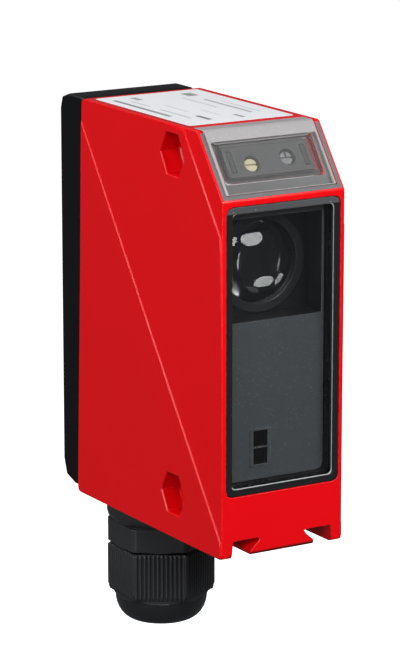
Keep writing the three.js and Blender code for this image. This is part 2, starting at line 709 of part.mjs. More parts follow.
function apertureMask() {
  const peepholes = [0, 1].map((i) => PEEPHOLE_LOW + i * (PEEPHOLE + PEEPHOLE_WEB));
  const openingHalf = MASK_HALF - MASK_SIDE;
  const plate = rectangle([-MASK_HALF, MASK_HALF], [MASK_LOW, MASK_HIGH], CHAMBER_CORNER);
  const tunnel = rectangle(
    [-MASK_HALF, MASK_HALF],
    [OPENING_LOW - MASK_SIDE, OPENING_HIGH + MASK_SIDE],
  );
  const border = block(
    [PEEPHOLE_X - PEEPHOLE / 2 - PEEPHOLE_BORDER, PEEPHOLE_X + PEEPHOLE / 2 + PEEPHOLE_BORDER],
    [MASK_FRONT - 0.15, MASK_BACK],
    [peepholes[0] - PEEPHOLE_BORDER / 2, peepholes[1] + PEEPHOLE + PEEPHOLE_BORDER / 2],
  );
  return cut(
    join(
      extrude(plate, "y", [MASK_FRONT, MASK_BACK]),
      extrude(tunnel, "y", [MASK_BACK - 0.2, TUNNEL_BACK]),
      border,
    ),
    block([-openingHalf, openingHalf], [MASK_FRONT - 1, TUNNEL_BACK + 1], [OPENING_LOW, OPENING_HIGH]),
    ...peepholes.map((low) =>
      block(
        [PEEPHOLE_X - PEEPHOLE / 2, PEEPHOLE_X + PEEPHOLE / 2],
        [MASK_FRONT - 1, MASK_BACK + 1],
        [low, low + PEEPHOLE],
      ),
    ),
  );
}

// ---- Optics ----
function splitterPlate(gap) {
  const half = SPLITTER_SIZE / 2 + gap;
  const thick = SPLITTER_THICKNESS / 2 + gap;
  return block([-half - 2.5, half + 2.5], [-thick, thick], [-half, half])
    .rotateX(Math.PI / 4)
    .translate(0, SPLITTER_Y, LENS_Z);
}

function opticsCarrier() {
  const seat = CARRIER_FRONT + LENS_SEAT_DEPTH;
  const across = [-CARRIER_HALF, CARRIER_HALF];
  const upper = rectangle(across, [CARRIER_STEP, CARRIER_HIGH], CHAMBER_CORNER);
  const lower = rectangle(across, [MASK_LOW, LENS_Z], CHAMBER_CORNER);
  const channel = block(
    [PEEPHOLE_X - PEEPHOLE / 2, PEEPHOLE_X + PEEPHOLE / 2],
    [CARRIER_FRONT - 1, CARRIER_LOWER_BACK + 1],
    [PEEPHOLE_LOW, PEEPHOLE_LOW + 2 * PEEPHOLE + PEEPHOLE_WEB],
  );
  return cut(
    join(
      extrude(upper, "y", [CARRIER_FRONT, CARRIER_BACK]),
      extrude(lower, "y", [CARRIER_FRONT, CARRIER_LOWER_BACK]),
    ),
    channel,
    round("y", [CARRIER_FRONT - 1, seat], [0, LENS_Z], LENS_RADIUS + FIT, undefined, 28),
    round("y", [seat - 1, CARRIER_BACK + 1], [0, LENS_Z], LIGHT_BORE, DIODE_RADIUS + 1, 20),
    round("z", [LENS_Z, CARRIER_HIGH + 1], [0, SPLITTER_Y], DIODE_RADIUS + FIT),
    splitterPlate(FIT),
    ...CARRIER_SCREWS.map((at) =>
      screwHole(at, SMALL_SCREW, [CARRIER_FRONT - 1, CARRIER_LOWER_BACK + 1]),
    ),
    ...CARRIER_SCREWS.map((at) =>
      screwHole(at, SMALL_SCREW_HEAD, [CARRIER_FRONT - 1, CARRIER_FRONT + SMALL_SCREW_HEAD_HEIGHT + FIT]),
    ),
  );
}

// Points of one lens face from the rim to the axis.
function lensFace(sag, rimHeight, steps) {
  const radius = (LENS_RADIUS ** 2 + sag ** 2) / (2 * sag);
  return Array.from({ length: steps + 1 }, (_, i) => {
    const r = LENS_RADIUS * (1 - i / steps);
    return [r, rimHeight + Math.sqrt(radius ** 2 - r ** 2) - (radius - sag)];
  });
}

function mainLens() {
  const front = lensFace(LENS_FRONT_SAG, LENS_RIM, 5);
  const back = lensFace(LENS_BACK_SAG, 0, 3).map(([r, h]) => [r, -h]);
  return turned([...front.reverse(), ...back], 28)
    .rotateX(Math.PI / 2)
    .translate(0, CARRIER_FRONT + FIT + LENS_RIM, LENS_Z);
}

function lensRetainer() {
  const inner = LENS_RADIUS - RETAINER_GRIP;
  const outer = LENS_RADIUS + RETAINER_OVERHANG;
  const ring = turned([
    [inner, 0],
    [outer, 0],
    [outer, RETAINER_THICKNESS],
    [inner + 0.4, RETAINER_THICKNESS],
    [inner, 0],
  ], 28)
    .rotateX(Math.PI / 2)
    .translate(0, CARRIER_FRONT - SLIDE_FIT, LENS_Z);
  const carrierFace = block(
    [-CARRIER_HALF, CARRIER_HALF],
    [TUNNEL_BACK, CARRIER_FRONT],
    [CARRIER_STEP, CARRIER_HIGH],
  );
  return asSolid(ring).intersect(asSolid(carrierFace));
}

// A diode: flanged base with a domed tip, pointing up from its seat.
function diode() {
  const tip = Array.from({ length: 4 }, (_, i) => {
    const turn = (i / 3) * (Math.PI / 2);
    return [DIODE_RADIUS * Math.cos(turn) * 0.96, DIODE_LENGTH - DIODE_RADIUS * (1 - Math.sin(turn))];
  });
  tip[3][0] = 0;
  return turned([[0, 0], [DIODE_RADIUS, 0], [DIODE_RADIUS, 1], ...tip], 14);
}

function emitterDiode() {
  return diode().rotateX(Math.PI / 2).translate(0, EMITTER_BOARD_FRONT - 0.05, LENS_Z);
}

function receiverDiode() {
  return diode().rotateX(Math.PI).translate(0, SPLITTER_Y, CARRIER_HIGH + FIT - 0.05);
}

function smallScrew(length) {
  const head = SMALL_SCREW_HEAD_HEIGHT;
  const shank = turned([
    [0, head],
    [SMALL_SCREW_HEAD - 0.3, head],
    [SMALL_SCREW_HEAD, head - 0.4],
    [SMALL_SCREW_HEAD, 0],
    [SMALL_SCREW, 0],
    [SMALL_SCREW, -length],
    [0, -length - 0.6],
  ], 12);
  const slot = (half, other) => block([-half, half], [-other, other], [head - 0.7, head + 1]);
  return geometryOf(cut(shank, slot(1.4, 0.3), slot(0.3, 1.4))).rotateX(Math.PI / 2);
}

// ---- Boards ----
function mainBoard() {
  const plate = rectangle(
    [-MAIN_BOARD_HALF, MAIN_BOARD_HALF],
    [CHAMBER_LOW + 1, TERMINAL_HIGH - 8],
    1,
  );
  const span = [MAIN_BOARD_FRONT - 1, MAIN_BOARD_BACK + 1];
  return cut(
    extrude(plate, "y", [MAIN_BOARD_FRONT, MAIN_BOARD_BACK]),
    ...BOARD_SCREWS.map((at) => screwHole(at, SMALL_SCREW, span)),
    ...CARRIER_SCREWS.map(({ x, z }) => {
      const edge = Math.sign(x) * (MAIN_BOARD_HALF + 1);
      const inner = x - Math.sign(x) * (SMALL_POST + FIT);
      const across = [inner, edge].sort((a, b) => a - b);
      return block(across, span, [z - SMALL_POST - FIT, z + SMALL_POST + FIT]);
    }),
  );
}

function emitterBoard() {
  const half = CARRIER_HALF - 2.5;
  const plate = rectangle([-half, half], [LENS_Z - 9, LENS_Z + 9], 1);
  return extrude(plate, "y", [EMITTER_BOARD_FRONT, EMITTER_BOARD_FRONT + BOARD]);
}

function receiverBoard() {
  const low = CARRIER_HIGH + FIT;
  const plate = rectangle([-8, 4.5], [SPLITTER_Y - 6, SPLITTER_Y + 7], 1);
  return extrude(plate, "z", [low, low + BOARD / 2]);
}

function boardLink() {
  const start = EMITTER_BOARD_FRONT + BOARD;
  return block([-5, 5], [start, MAIN_BOARD_FRONT], [LENS_Z - 6, LENS_Z - 3.5]);
}

function terminalLink() {
  const [across, upright] = linkSlot(0);
  return block(across, [MAIN_BOARD_BACK, TERMINAL_FRONT - SLIDE_FIT], upright);
}

function processorChip() {
  const z = CHAMBER_LOW + 15;
  return extrude(rectangle([-5, 5], [z - 5, z + 5], 0.3), "y", [MAIN_BOARD_FRONT - 1.1, MAIN_BOARD_FRONT]);
}

function storageCapacitor() {
  return round("y", [MAIN_BOARD_FRONT - 7.5, MAIN_BOARD_FRONT], [-5.6, CHAMBER_LOW + 6], 3);
}

// A flat flexible strip from the control board down the passage and back to the main board.
function controlFlex() {
  const thick = FLEX_THICKNESS;
  const roof = CHAMBER_HIGH - FIT;
  const rear = MAIN_BOARD_FRONT - 0.1;
  const low = LENS_Z + 9;
  const leg = (along, level) => {
    const start = new THREE.Vector3(0, along, CONTROL_BOARD_TOP - BOARD - 0.1).applyMatrix4(slopeFrame);
    const drop = start.z - level;
    return [[start.y, start.z], [start.y + (drop * SLOPE_DROP) / SLOPE_RUN, level, 0.6]];
  };
  const along = PANEL_LOW + PANEL_LEDGE + FLEX_PASSAGE - 0.6;
  const strip = outline([
    ...leg(along, roof),
    [rear, roof, 0.8],
    [rear, low],
    [rear - thick, low],
    [rear - thick, roof - thick, 0.6],
    ...leg(along - thick, roof - thick).reverse(),
  ]);
  return extrude(strip, "x", [5.4, 8.6]);
}

// ---- Controls, in the slope's frame ----
function clearCover() {
  const lid = extrude(coverSection(0), "x", [-COVER_HALF, COVER_HALF], 0.12);
  const tongue = frameOf(
    rectangle([-TONGUE_HALF, TONGUE_HALF], [TONGUE_LOW, TONGUE_HIGH], 1.2),
    rectangle(
      [-TONGUE_HALF + TONGUE_WIDTH, TONGUE_HALF - TONGUE_WIDTH],
      [TONGUE_LOW + TONGUE_WIDTH, TONGUE_HIGH - TONGUE_WIDTH],
      0.6,
    ),
  );
  const depth = -COVER_THICKNESS - TONGUE_DEPTH;
  return join(lid, extrude(tongue, "z", [depth, -COVER_THICKNESS / 2]).applyMatrix4(slopeFrame));
}

function controlSeal() {
  const top = -COVER_THICKNESS - TONGUE_DEPTH - FIT;
  const inner = TONGUE_WIDTH + 0.1;
  const ring = frameOf(
    rectangle([-TONGUE_HALF, TONGUE_HALF], [TONGUE_LOW, TONGUE_HIGH], 1.2),
    rectangle(
      [-TONGUE_HALF + inner, TONGUE_HALF - inner],
      [TONGUE_LOW + inner, TONGUE_HIGH - inner],
      0.6,
    ),
  );
  return extrude(ring, "z", [PANEL_SEAT + FIT, top]);
}

const lightSlot = (side, grow) =>
  rectangle(
    [side * LIGHT_SLOT_X - LIGHT_SLOT[0] / 2 - grow, side * LIGHT_SLOT_X + LIGHT_SLOT[0] / 2 + grow],
    [LIGHT_SLOT_AT - LIGHT_SLOT[1] / 2 - grow, LIGHT_SLOT_AT + LIGHT_SLOT[1] / 2 + grow],
    0.3,
  );

function controlPanel() {
  const plate = rectangle([-PANEL_HALF, PANEL_HALF], [PANEL_LOW, PANEL_HIGH], 0.5);
  const through = [PANEL_BOTTOM - 1, PANEL_TOP + 1];
  return cut(
    extrude(plate, "z", [PANEL_BOTTOM, PANEL_TOP]),
    round("z", through, SENSITIVITY_AT, ROTOR_RADIUS + FIT, undefined, 20),
    round("z", through, MODE_AT, ROTOR_RADIUS + FIT, undefined, 20),
    extrude(lightSlot(1, SLIDE_FIT), "z", through),
    extrude(lightSlot(-1, SLIDE_FIT), "z", through),
  );
}

function controlBoard() {
  const half = PANEL_HALF - 1 - FIT;
  const edge = PANEL_LEDGE + FIT;
  const plate = rectangle([-half, half], [PANEL_LOW + edge, PANEL_HIGH - edge]);
  return extrude(plate, "z", [CONTROL_BOARD_TOP - BOARD, CONTROL_BOARD_TOP]);
}

// A trimmer or switch body: a square case under the panel with a round seat for its rotor.
function adjusterBody([x, along]) {
  const half = ADJUSTER_SIZE / 2;
  return extrude(
    rectangle([x - half, x + half], [along - half, along + half], 0.3),
    "z",
    [CONTROL_BOARD_TOP, PANEL_BOTTOM - FIT],
  );
}

function rotor(crossed) {
  const height = PANEL_THICKNESS - 0.4;
  const knob = round("z", [0, height], [0, 0], ROTOR_RADIUS, ROTOR_RADIUS - 0.15, 20);
  const half = ROTOR_SLOT / 2;
  const across = block([-2, 2], [-half, half], [height - 0.7, height + 1]);
  const upright = block([-half, half], [0, 2], [height - 0.7, height + 1]);
  return crossed ? cut(knob, across, upright) : cut(knob, across);
}

function statusLight(side) {
  const seat = CONTROL_BOARD_TOP;
  return extrude(lightSlot(side, 0), "z", [seat, PANEL_TOP]);
}

// ---- Rear cap ----
function rearLine(z) {
  return REAR_BOTTOM + ((z - BOTTOM) / HEIGHT) * (REAR_TOP - REAR_BOTTOM);
}

function rearCap() {
  const side = outline([
    [rearLine(CAP_LOW) + FIT, CAP_LOW, CORNER_RADIUS],
    [BACK, CAP_LOW, CAP_BOTTOM_RADIUS],
    [BACK, CAP_HIGH, CAP_TOP_RADIUS],
    [rearLine(CAP_HIGH) + FIT, CAP_HIGH, CORNER_RADIUS],
  ]);
  const spigotHalf = CHAMBER_HALF - FIT;
  const spigot = rectangle(
    [-spigotHalf, spigotHalf],
    [TERMINAL_LOW + FIT, TERMINAL_HIGH - FIT],
    CHAMBER_CORNER,
  );
  const bore = rectangle(
    [-spigotHalf + SPIGOT_WALL, spigotHalf - SPIGOT_WALL],
    [TERMINAL_LOW + FIT + SPIGOT_WALL, TERMINAL_HIGH - FIT - SPIGOT_WALL],
    0.8,
  );
  const room = rectangle(
    [-CAP_HALF + CAP_WALL, CAP_HALF - CAP_WALL],
    [CAP_LOW + CAP_BOTTOM_RADIUS / 2, CAP_HIGH - CAP_TOP_RADIUS / 2],
    CHAMBER_CORNER,
  );
  const shell = cut(
    join(
      extrude(side, "x", [-CAP_HALF, CAP_HALF], EDGE_RADIUS),
      extrude(spigot, "y", [SPIGOT_FRONT, REAR_BOTTOM + 1]),
    ),
    extrude(bore, "y", [SPIGOT_FRONT - 1, BACK - CAP_WALL]),
    extrude(room, "y", [REAR_BOTTOM + CAP_WALL, BACK - CAP_WALL]),
    block(
      [-NOTCH[0] / 2, NOTCH[0] / 2],
      [BACK - NOTCH[1], BACK + 1],
      [CAP_HIGH - NOTCH[2], CAP_HIGH + 1],
    ),
  );
  const columns = CAP_SCREWS.map(({ x, z }) =>
    round("y", [SPIGOT_FRONT, BACK - CAP_WALL / 2], [x, z], COLUMN_RADIUS),
  );
  return cut(
    join(shell, ...columns),
    ...CAP_SCREWS.map((at) => screwHole(at, CAP_SCREW_RADIUS, [SPIGOT_FRONT - 1, BACK + 1])),
    ...CAP_SCREWS.map((at) =>
      screwHole(at, CAP_SCREW_HEAD, [BACK - CAP_SCREW_HEAD_DEPTH - FIT, BACK + 1]),
    ),
  );
}

function capScrew({ x, z }) {
  const head = CAP_SCREW_HEAD_DEPTH - FIT;
  const length = BACK - CAP_SCREW_HEAD_DEPTH - (SPIGOT_FRONT - CAP_SCREW_GRIP);
  const blank = turned([
    [0, head],
    [CAP_SCREW_HEAD - 0.4, head],
    [CAP_SCREW_HEAD, head - 0.4],
    [CAP_SCREW_HEAD, 0],
    [CAP_SCREW_RADIUS, 0],
    [CAP_SCREW_RADIUS, -length],
    [0, -length - 0.8],
  ], 16);
  const slot = (half, other) => block([-half, half], [-other, other], [head - 1, head + 1]);
  return geometryOf(cut(blank, slot(1.8, 0.4), slot(0.4, 1.8)))
    .rotateX(-Math.PI / 2)
    .translate(x, BACK - CAP_SCREW_HEAD_DEPTH, z);
}

// ---- Terminals ----
const poleHeight = (i) => TERMINAL_TOP - 1 - POLE_PITCH * (i + 0.5);
const TERMINAL_SCREW_X = -3.4;
const WIRE_ENTRY_X = 4.6;

function terminalBlock() {
  const half = TERMINAL_WIDTH / 2;
  const body = rectangle([-half, half], [TERMINAL_BASE, TERMINAL_TOP], 0.6);
  const poles = Array.from({ length: POLES }, (_, i) => poleHeight(i));
  const entryHalf = WIRE_ENTRY / 2;
  return cut(
    extrude(body, "y", [TERMINAL_FRONT, TERMINAL_BACK], 0.4),
    ...poles.map((z) =>
      round(
        "y",
        [TERMINAL_BACK - TERMINAL_WELL_DEPTH, TERMINAL_BACK + 1],
        [TERMINAL_SCREW_X, z],
        TERMINAL_SCREW_RADIUS + SCREW_CLEARANCE,
      ),
    ),
    ...poles.map((z) =>
      block(
        [WIRE_ENTRY_X - entryHalf, WIRE_ENTRY_X + entryHalf],
        [TERMINAL_BACK - TERMINAL_WELL_DEPTH, TERMINAL_BACK + 1],
        [z - entryHalf, z + entryHalf],
      ),
    ),
  );
}

function terminalScrew(z) {
  const length = TERMINAL_SCREW_LENGTH;
  const blank = round("z", [0, length], [0, 0], TERMINAL_SCREW_RADIUS, undefined, 14);
  const slot = block([-3, 3], [-0.35, 0.35], [length - 0.9, length + 1]);
  return geometryOf(cut(blank, slot))
    .rotateX(-Math.PI / 2)
    .translate(TERMINAL_SCREW_X, TERMINAL_BACK - TERMINAL_WELL_DEPTH + 0.1, z);
}

// ---- Cable gland, turned about its own upright axis ----
function hexPrism([from, to], acrossFlats, turn) {
  return round("z", [from, to], [0, 0], acrossFlats / Math.sqrt(3), undefined, 6).rotateZ(turn);
}

function glandBody() {
  const flange = turned([
    [0, GLAND_THREAD_REACH + BOTTOM],
    [GLAND_THREAD - 0.4, GLAND_THREAD_REACH + BOTTOM],
    [GLAND_THREAD, GLAND_THREAD_REACH + BOTTOM - 0.4],
    [GLAND_THREAD, FLANGE_TOP],
    [FLANGE_RADIUS - 0.5, FLANGE_TOP],
    [FLANGE_RADIUS, FLANGE_TOP - 0.5],
    [FLANGE_RADIUS, HEX_TOP + 2.2],
    [FLANGE_RADIUS - 0.5, HEX_TOP + 0.8],
    [FLANGE_RADIUS - 1.6, HEX_TOP - 0.3],
    [0, HEX_TOP - 0.3],
  ]);
  const thread = turned([
    [0, HEX_BOTTOM + 0.5],
    [CAP_THREAD, HEX_BOTTOM + 0.5],
    [CAP_THREAD, THREAD_END + 0.6],
    [CAP_THREAD - 0.6, THREAD_END],
    [0, THREAD_END],
  ]);
  const bore = turned([
    [0, GLAND_THREAD_REACH + 5],
    [GLAND_BORE, GLAND_THREAD_REACH + 5],
    [GLAND_BORE, HEX_BOTTOM - 0.5],
    [SEAL_POCKET, HEX_BOTTOM - 0.5],
    [SEAL_POCKET, THREAD_END - 1],
    [0, THREAD_END - 1],
  ]);
  const grooveTop = FLANGE_TOP + 1;
  const groove = turned([
    [8.5, FLANGE_TOP - 1.2],
    [10.1, FLANGE_TOP - 1.2],
    [10.1, grooveTop],
    [8.5, grooveTop],
    [8.5, FLANGE_TOP - 1.2],
  ]);
  const hex = hexPrism([HEX_BOTTOM, HEX_TOP], BODY_HEX, HEX_TURN);
  return cut(join(flange, hex, thread), bore, groove);
}

function flangeSeal() {
  const section = Array.from({ length: 7 }, (_, i) => {
    const turn = (i / 6) * 2 * Math.PI;
    return [9.3 + 0.5 * Math.cos(turn), FLANGE_TOP - 0.6 + 0.5 * Math.sin(turn)];
  });
  section[6] = [...section[0]];
  return turned(section);
}

function cableSeal() {
  const outer = SEAL_POCKET - 0.2;
  return turned([
    [CABLE_HOLE - 0.5, HEX_BOTTOM - 0.9],
    [outer, HEX_BOTTOM - 0.9],
    [outer, THREAD_END],
    [CABLE_HOLE - 0.5, THREAD_END],
    [CABLE_HOLE - 0.5, HEX_BOTTOM - 0.9],
  ]);
}

const CLAMP_TOP = THREAD_END - FIT;
const CLAMP_BOTTOM = CLAMP_TOP - 3.4;

function clampRing() {
  return turned([
    [CABLE_HOLE + 0.1, CLAMP_TOP],
    [SEAL_POCKET + 1.4, CLAMP_TOP],
    [SEAL_POCKET + 0.2, CLAMP_BOTTOM],
    [CABLE_HOLE + 0.1, CLAMP_BOTTOM],
    [CABLE_HOLE + 0.1, CLAMP_TOP],
  ]);
}

function glandNut() {
  const chamfer = NUT_CHAMFER;
  const corner = NUT_HEX / Math.sqrt(3);
  const envelope = turned([
    [0, NUT_TOP],
    [corner - 0.5, NUT_TOP],
    [corner, NUT_TOP - 0.5],
    [corner, NUT_BOTTOM + chamfer],
    [DOME_RADIUS, NUT_BOTTOM],
    [0, NUT_BOTTOM],
  ], 30);
  const flats = hexPrism([NUT_BOTTOM - 1, NUT_TOP + 1], NUT_HEX, HEX_TURN + Math.PI / 6);
  const arc = Array.from({ length: 6 }, (_, i) => {
    const turn = (i / 5) * (Math.PI / 2);
    const reach = DOME_RADIUS - DOME_FLAT;
    return [DOME_FLAT + reach * Math.cos(turn), NUT_BOTTOM - DOME_HEIGHT * Math.sin(turn)];
  });
  const dome = turned([[0, NUT_BOTTOM + 1], [DOME_RADIUS - 0.4, NUT_BOTTOM + 1], ...arc, [0, DOME_END]], 30);
  const threadRoot = CAP_THREAD + SCREW_CLEARANCE;
  const hollow = turned([
    [0, NUT_TOP + 1],
    [threadRoot, NUT_TOP + 1],
    [threadRoot, THREAD_END - 0.4],
    [SEAL_POCKET + 1.9, THREAD_END - 0.4],
    [SEAL_POCKET + 0.5, CLAMP_BOTTOM - FIT],
    [CABLE_HOLE, CLAMP_BOTTOM - FIT - 1],
    [CABLE_HOLE, DOME_END - 1],
    [0, DOME_END - 1],
  ], 24);
  return cut(join(asSolid(envelope).intersect(asSolid(flats)), dome), hollow);
}

// ---- Assembly ----
const sensor = new THREE.Group();

add(sensor, "housing", housing(), PAINT);
add(sensor, "window_frame", windowFrame(), BLACK_GLOSS);
add(sensor, "front_window", glassPane(), GLASS);
add(sensor, "aperture_mask", apertureMask(), MASK_PLASTIC);
add(sensor, "optics_carrier", opticsCarrier(), BLACK_PLASTIC);
add(sensor, "main_lens", mainLens(), GLASS);
add(sensor, "lens_retainer", lensRetainer(), BLACK_GLOSS);
add(sensor, "beam_splitter", splitterPlate(0), GLASS);
add(sensor, "emitter_diode", emitterDiode(), DARK_LENS);
add(sensor, "receiver_diode", receiverDiode(), DARK_LENS);
add(sensor, "emitter_board", emitterBoard(), BOARD_LACQUER);
add(sensor, "receiver_board", receiverBoard(), BOARD_LACQUER);
add(sensor, "main_board", mainBoard(), BOARD_LACQUER);
add(sensor, "processor_chip", processorChip(), BLACK_PLASTIC);
add(sensor, "storage_capacitor", storageCapacitor(), STEEL);
add(sensor, "board_link", boardLink(), BLACK_PLASTIC);
add(sensor, "terminal_link", terminalLink(), BLACK_PLASTIC);
add(sensor, "control_flex", controlFlex(), BRASS);

for (const { name, x, z } of CARRIER_SCREWS) {
  const screw = add(sensor, name, smallScrew(CARRIER_LOWER_DEPTH + 4), STEEL);
  screw.position.set(x, CARRIER_FRONT + SMALL_SCREW_HEAD_HEIGHT, z);
}
for (const { name, x, z } of BOARD_SCREWS) {
  const screw = add(sensor, name, smallScrew(BOARD + PARTITION), STEEL);
  screw.position.set(x, MAIN_BOARD_FRONT - SLIDE_FIT, z);
}

const controls = new THREE.Group();
controls.applyMatrix4(slopeFrame);
sensor.add(controls);
add(controls, "control_panel", controlPanel(), GREY_PLASTIC);
add(controls, "control_seal", controlSeal(), RUBBER);
add(controls, "control_board", controlBoard(), BOARD_LACQUER);
add(controls, "sensitivity_trimmer", adjusterBody(SENSITIVITY_AT), CREAM_PLASTIC);
add(controls, "mode_switch", adjusterBody(MODE_AT), GREY_PLASTIC);
add(controls, "status_light_left", statusLight(-1), DARK_LENS);
add(controls, "status_light_right", statusLight(1), DARK_LENS);
const rotorSeat = PANEL_BOTTOM - FIT / 2;
add(controls, "sensitivity_rotor", rotor(false), CREAM_PLASTIC).position.set(...SENSITIVITY_AT, rotorSeat);
add(controls, "mode_rotor", rotor(true), GREY_PLASTIC).position.set(...MODE_AT, rotorSeat);
add(sensor, "clear_cover", clearCover(), CLEAR_PLASTIC);

const labelHalf = HALF - LABEL_MARGIN;
const labelStart = FRONT + LABEL_SETBACK;
const labelShape = rectangle([-labelHalf, labelHalf], [labelStart, labelStart + LABEL_LENGTH], 1);
add(sensor, "rating_label", extrude(labelShape, "z", [TOP - LABEL_THICKNESS, TOP]), LABEL_FILM);

const gasketSpan = [GASKET_INSET, GASKET_INSET + GASKET_WIDTH];
add(sensor, "rear_gasket", rearRing(gasketSpan, [-GASKET_THICKNESS, 0]), RUBBER);
add(sensor, "rear_cap", rearCap(), BLACK_PLASTIC);
for (const place of CAP_SCREWS) add(sensor, place.name, capScrew(place), STEEL);

add(sensor, "terminal_block", terminalBlock(), TERMINAL_PLASTIC);
for (let i = 0; i < POLES; i += 1) {
  add(sensor, `terminal_screw_${i + 1}`, terminalScrew(poleHeight(i)), BRASS);
}

const gland = new THREE.Group();
gland.position.set(0, GLAND_Y, 0);
sensor.add(gland);
add(gland, "gland_body", glandBody(), BLACK_PLASTIC);
add(gland, "gland_flange_seal", flangeSeal(), RUBBER);
add(gland, "gland_cable_seal", cableSeal(), RUBBER);
add(gland, "gland_clamp_ring", clampRing(), BLACK_PLASTIC);
add(gland, "gland_nut", glandNut(), BLACK_PLASTIC);

export default sensor;
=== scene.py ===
"""Looks of a block-shaped photoelectric sensor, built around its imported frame.

Every length is in metres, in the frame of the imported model: +Z up, +Y from the
window to the rear cap, origin under the dovetail rail.
"""
import json
import logging
import math
from collections.abc import Callable, Sequence
from dataclasses import dataclass, field
from enum import Enum

import bmesh
import bpy
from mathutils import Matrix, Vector


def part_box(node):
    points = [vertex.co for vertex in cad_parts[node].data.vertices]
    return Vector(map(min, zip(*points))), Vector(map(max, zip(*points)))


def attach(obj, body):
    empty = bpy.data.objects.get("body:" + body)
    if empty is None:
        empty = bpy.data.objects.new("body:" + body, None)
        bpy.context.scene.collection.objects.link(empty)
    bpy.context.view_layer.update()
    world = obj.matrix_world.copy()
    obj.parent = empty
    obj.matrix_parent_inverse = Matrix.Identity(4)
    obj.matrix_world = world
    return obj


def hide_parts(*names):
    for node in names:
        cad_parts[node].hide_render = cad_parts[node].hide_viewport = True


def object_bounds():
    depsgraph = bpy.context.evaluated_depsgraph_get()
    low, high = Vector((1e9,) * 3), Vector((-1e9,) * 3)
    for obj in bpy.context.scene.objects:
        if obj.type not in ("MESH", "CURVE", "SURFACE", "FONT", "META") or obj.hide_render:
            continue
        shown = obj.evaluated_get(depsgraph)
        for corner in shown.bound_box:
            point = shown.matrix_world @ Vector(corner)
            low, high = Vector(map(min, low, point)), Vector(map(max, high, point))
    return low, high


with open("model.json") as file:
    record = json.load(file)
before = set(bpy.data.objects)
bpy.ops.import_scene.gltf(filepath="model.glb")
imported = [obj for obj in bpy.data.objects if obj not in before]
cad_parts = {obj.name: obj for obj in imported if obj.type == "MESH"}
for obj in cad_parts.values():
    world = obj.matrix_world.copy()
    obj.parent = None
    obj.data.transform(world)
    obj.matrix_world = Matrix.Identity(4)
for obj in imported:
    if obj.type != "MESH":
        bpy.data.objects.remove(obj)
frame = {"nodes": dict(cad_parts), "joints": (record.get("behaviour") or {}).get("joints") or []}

CAD_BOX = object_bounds()
LOG = logging.getLogger("sensor")
Colour = tuple[float, float, float]
Ring = list[Vector]
MM = 0.001
TAU = 2 * math.pi
MERGE_GAP = 3e-6
FLAT_ANGLE = math.radians(0.6)
SHARP_ANGLE = math.radians(32)


# ---- Shader tools -----------------------------------------------------------
class ShaderSheet:
    """Adds nodes to one shader tree and joins them."""

    def __init__(self, tree: bpy.types.NodeTree) -> None:
        """Keeps the tree that the nodes go into."""
        self.tree = tree

    def node(self, kind: str, inputs: dict | None = None, **settings: object) -> bpy.types.Node:
        """Adds one node.

        Args:
            kind: The node's type name.
            inputs: Input names or numbers, each with a value or a socket.
            **settings: Attributes set on the node.

        Returns:
            The new node.
        """
        made = self.tree.nodes.new(kind)
        for name, value in settings.items():
            setattr(made, name, value)
        for name, value in (inputs or {}).items():
            self.feed(made.inputs[name], value)
        return made

    def feed(self, socket: bpy.types.NodeSocket, value: object) -> None:
        """Links a socket, or sets its value."""
        if isinstance(value, bpy.types.NodeSocket):
            self.tree.links.new(value, socket)
        else:
            socket.default_value = value

    def math(self, step: str, a: object, b: object = 0.0, clamp: bool = False) -> bpy.types.NodeSocket:
        """Returns the result of one Math node."""
        return self.node("ShaderNodeMath", {0: a, 1: b}, operation=step, use_clamp=clamp).outputs[0]

    def ramp(self, value: object, low: float, high: float, to: tuple = (0.0, 1.0)) -> bpy.types.NodeSocket:
        """Returns a value rescaled and clamped from low..high to another range."""
        sockets = {"Value": value, "From Min": low, "From Max": high, "To Min": to[0], "To Max": to[1]}
        return self.node("ShaderNodeMapRange", sockets).outputs[0]

    def blend(self, share: object, a: object, b: object, kind: str = "MIX") -> bpy.types.NodeSocket:
        """Returns a mix of two colours."""
        made = self.node("ShaderNodeMix", data_type="RGBA", blend_type=kind)
        for socket, value in ((made.inputs[0], share), (made.inputs[6], a), (made.inputs[7], b)):
            self.feed(socket, value)
        return made.outputs[2]


def rgba(colour: Colour) -> tuple[float, float, float, float]:
    """Returns a colour with full alpha."""
    return (*colour, 1.0)


def start_group(name: str, takes: dict, gives: dict) -> tuple[ShaderSheet, bpy.types.Node, bpy.types.Node]:
    """Makes an empty shader node group.

    Args:
        name: The group's name.
        takes: Input names with their default values; a tuple makes a colour.
        gives: Output names with their socket kinds.

    Returns:
        The sheet, the group's input node and its output node.
    """
    tree = bpy.data.node_groups.new(name, "ShaderNodeTree")
    for label, value in takes.items():
        kind = "NodeSocketColor" if isinstance(value, tuple) else "NodeSocketFloat"
        tree.interface.new_socket(name=label, in_out="INPUT", socket_type=kind).default_value = value
    for label, kind in gives.items():
        tree.interface.new_socket(name=label, in_out="OUTPUT", socket_type="NodeSocket" + kind)
    sheet = ShaderSheet(tree)
    return sheet, sheet.node("NodeGroupInput"), sheet.node("NodeGroupOutput")


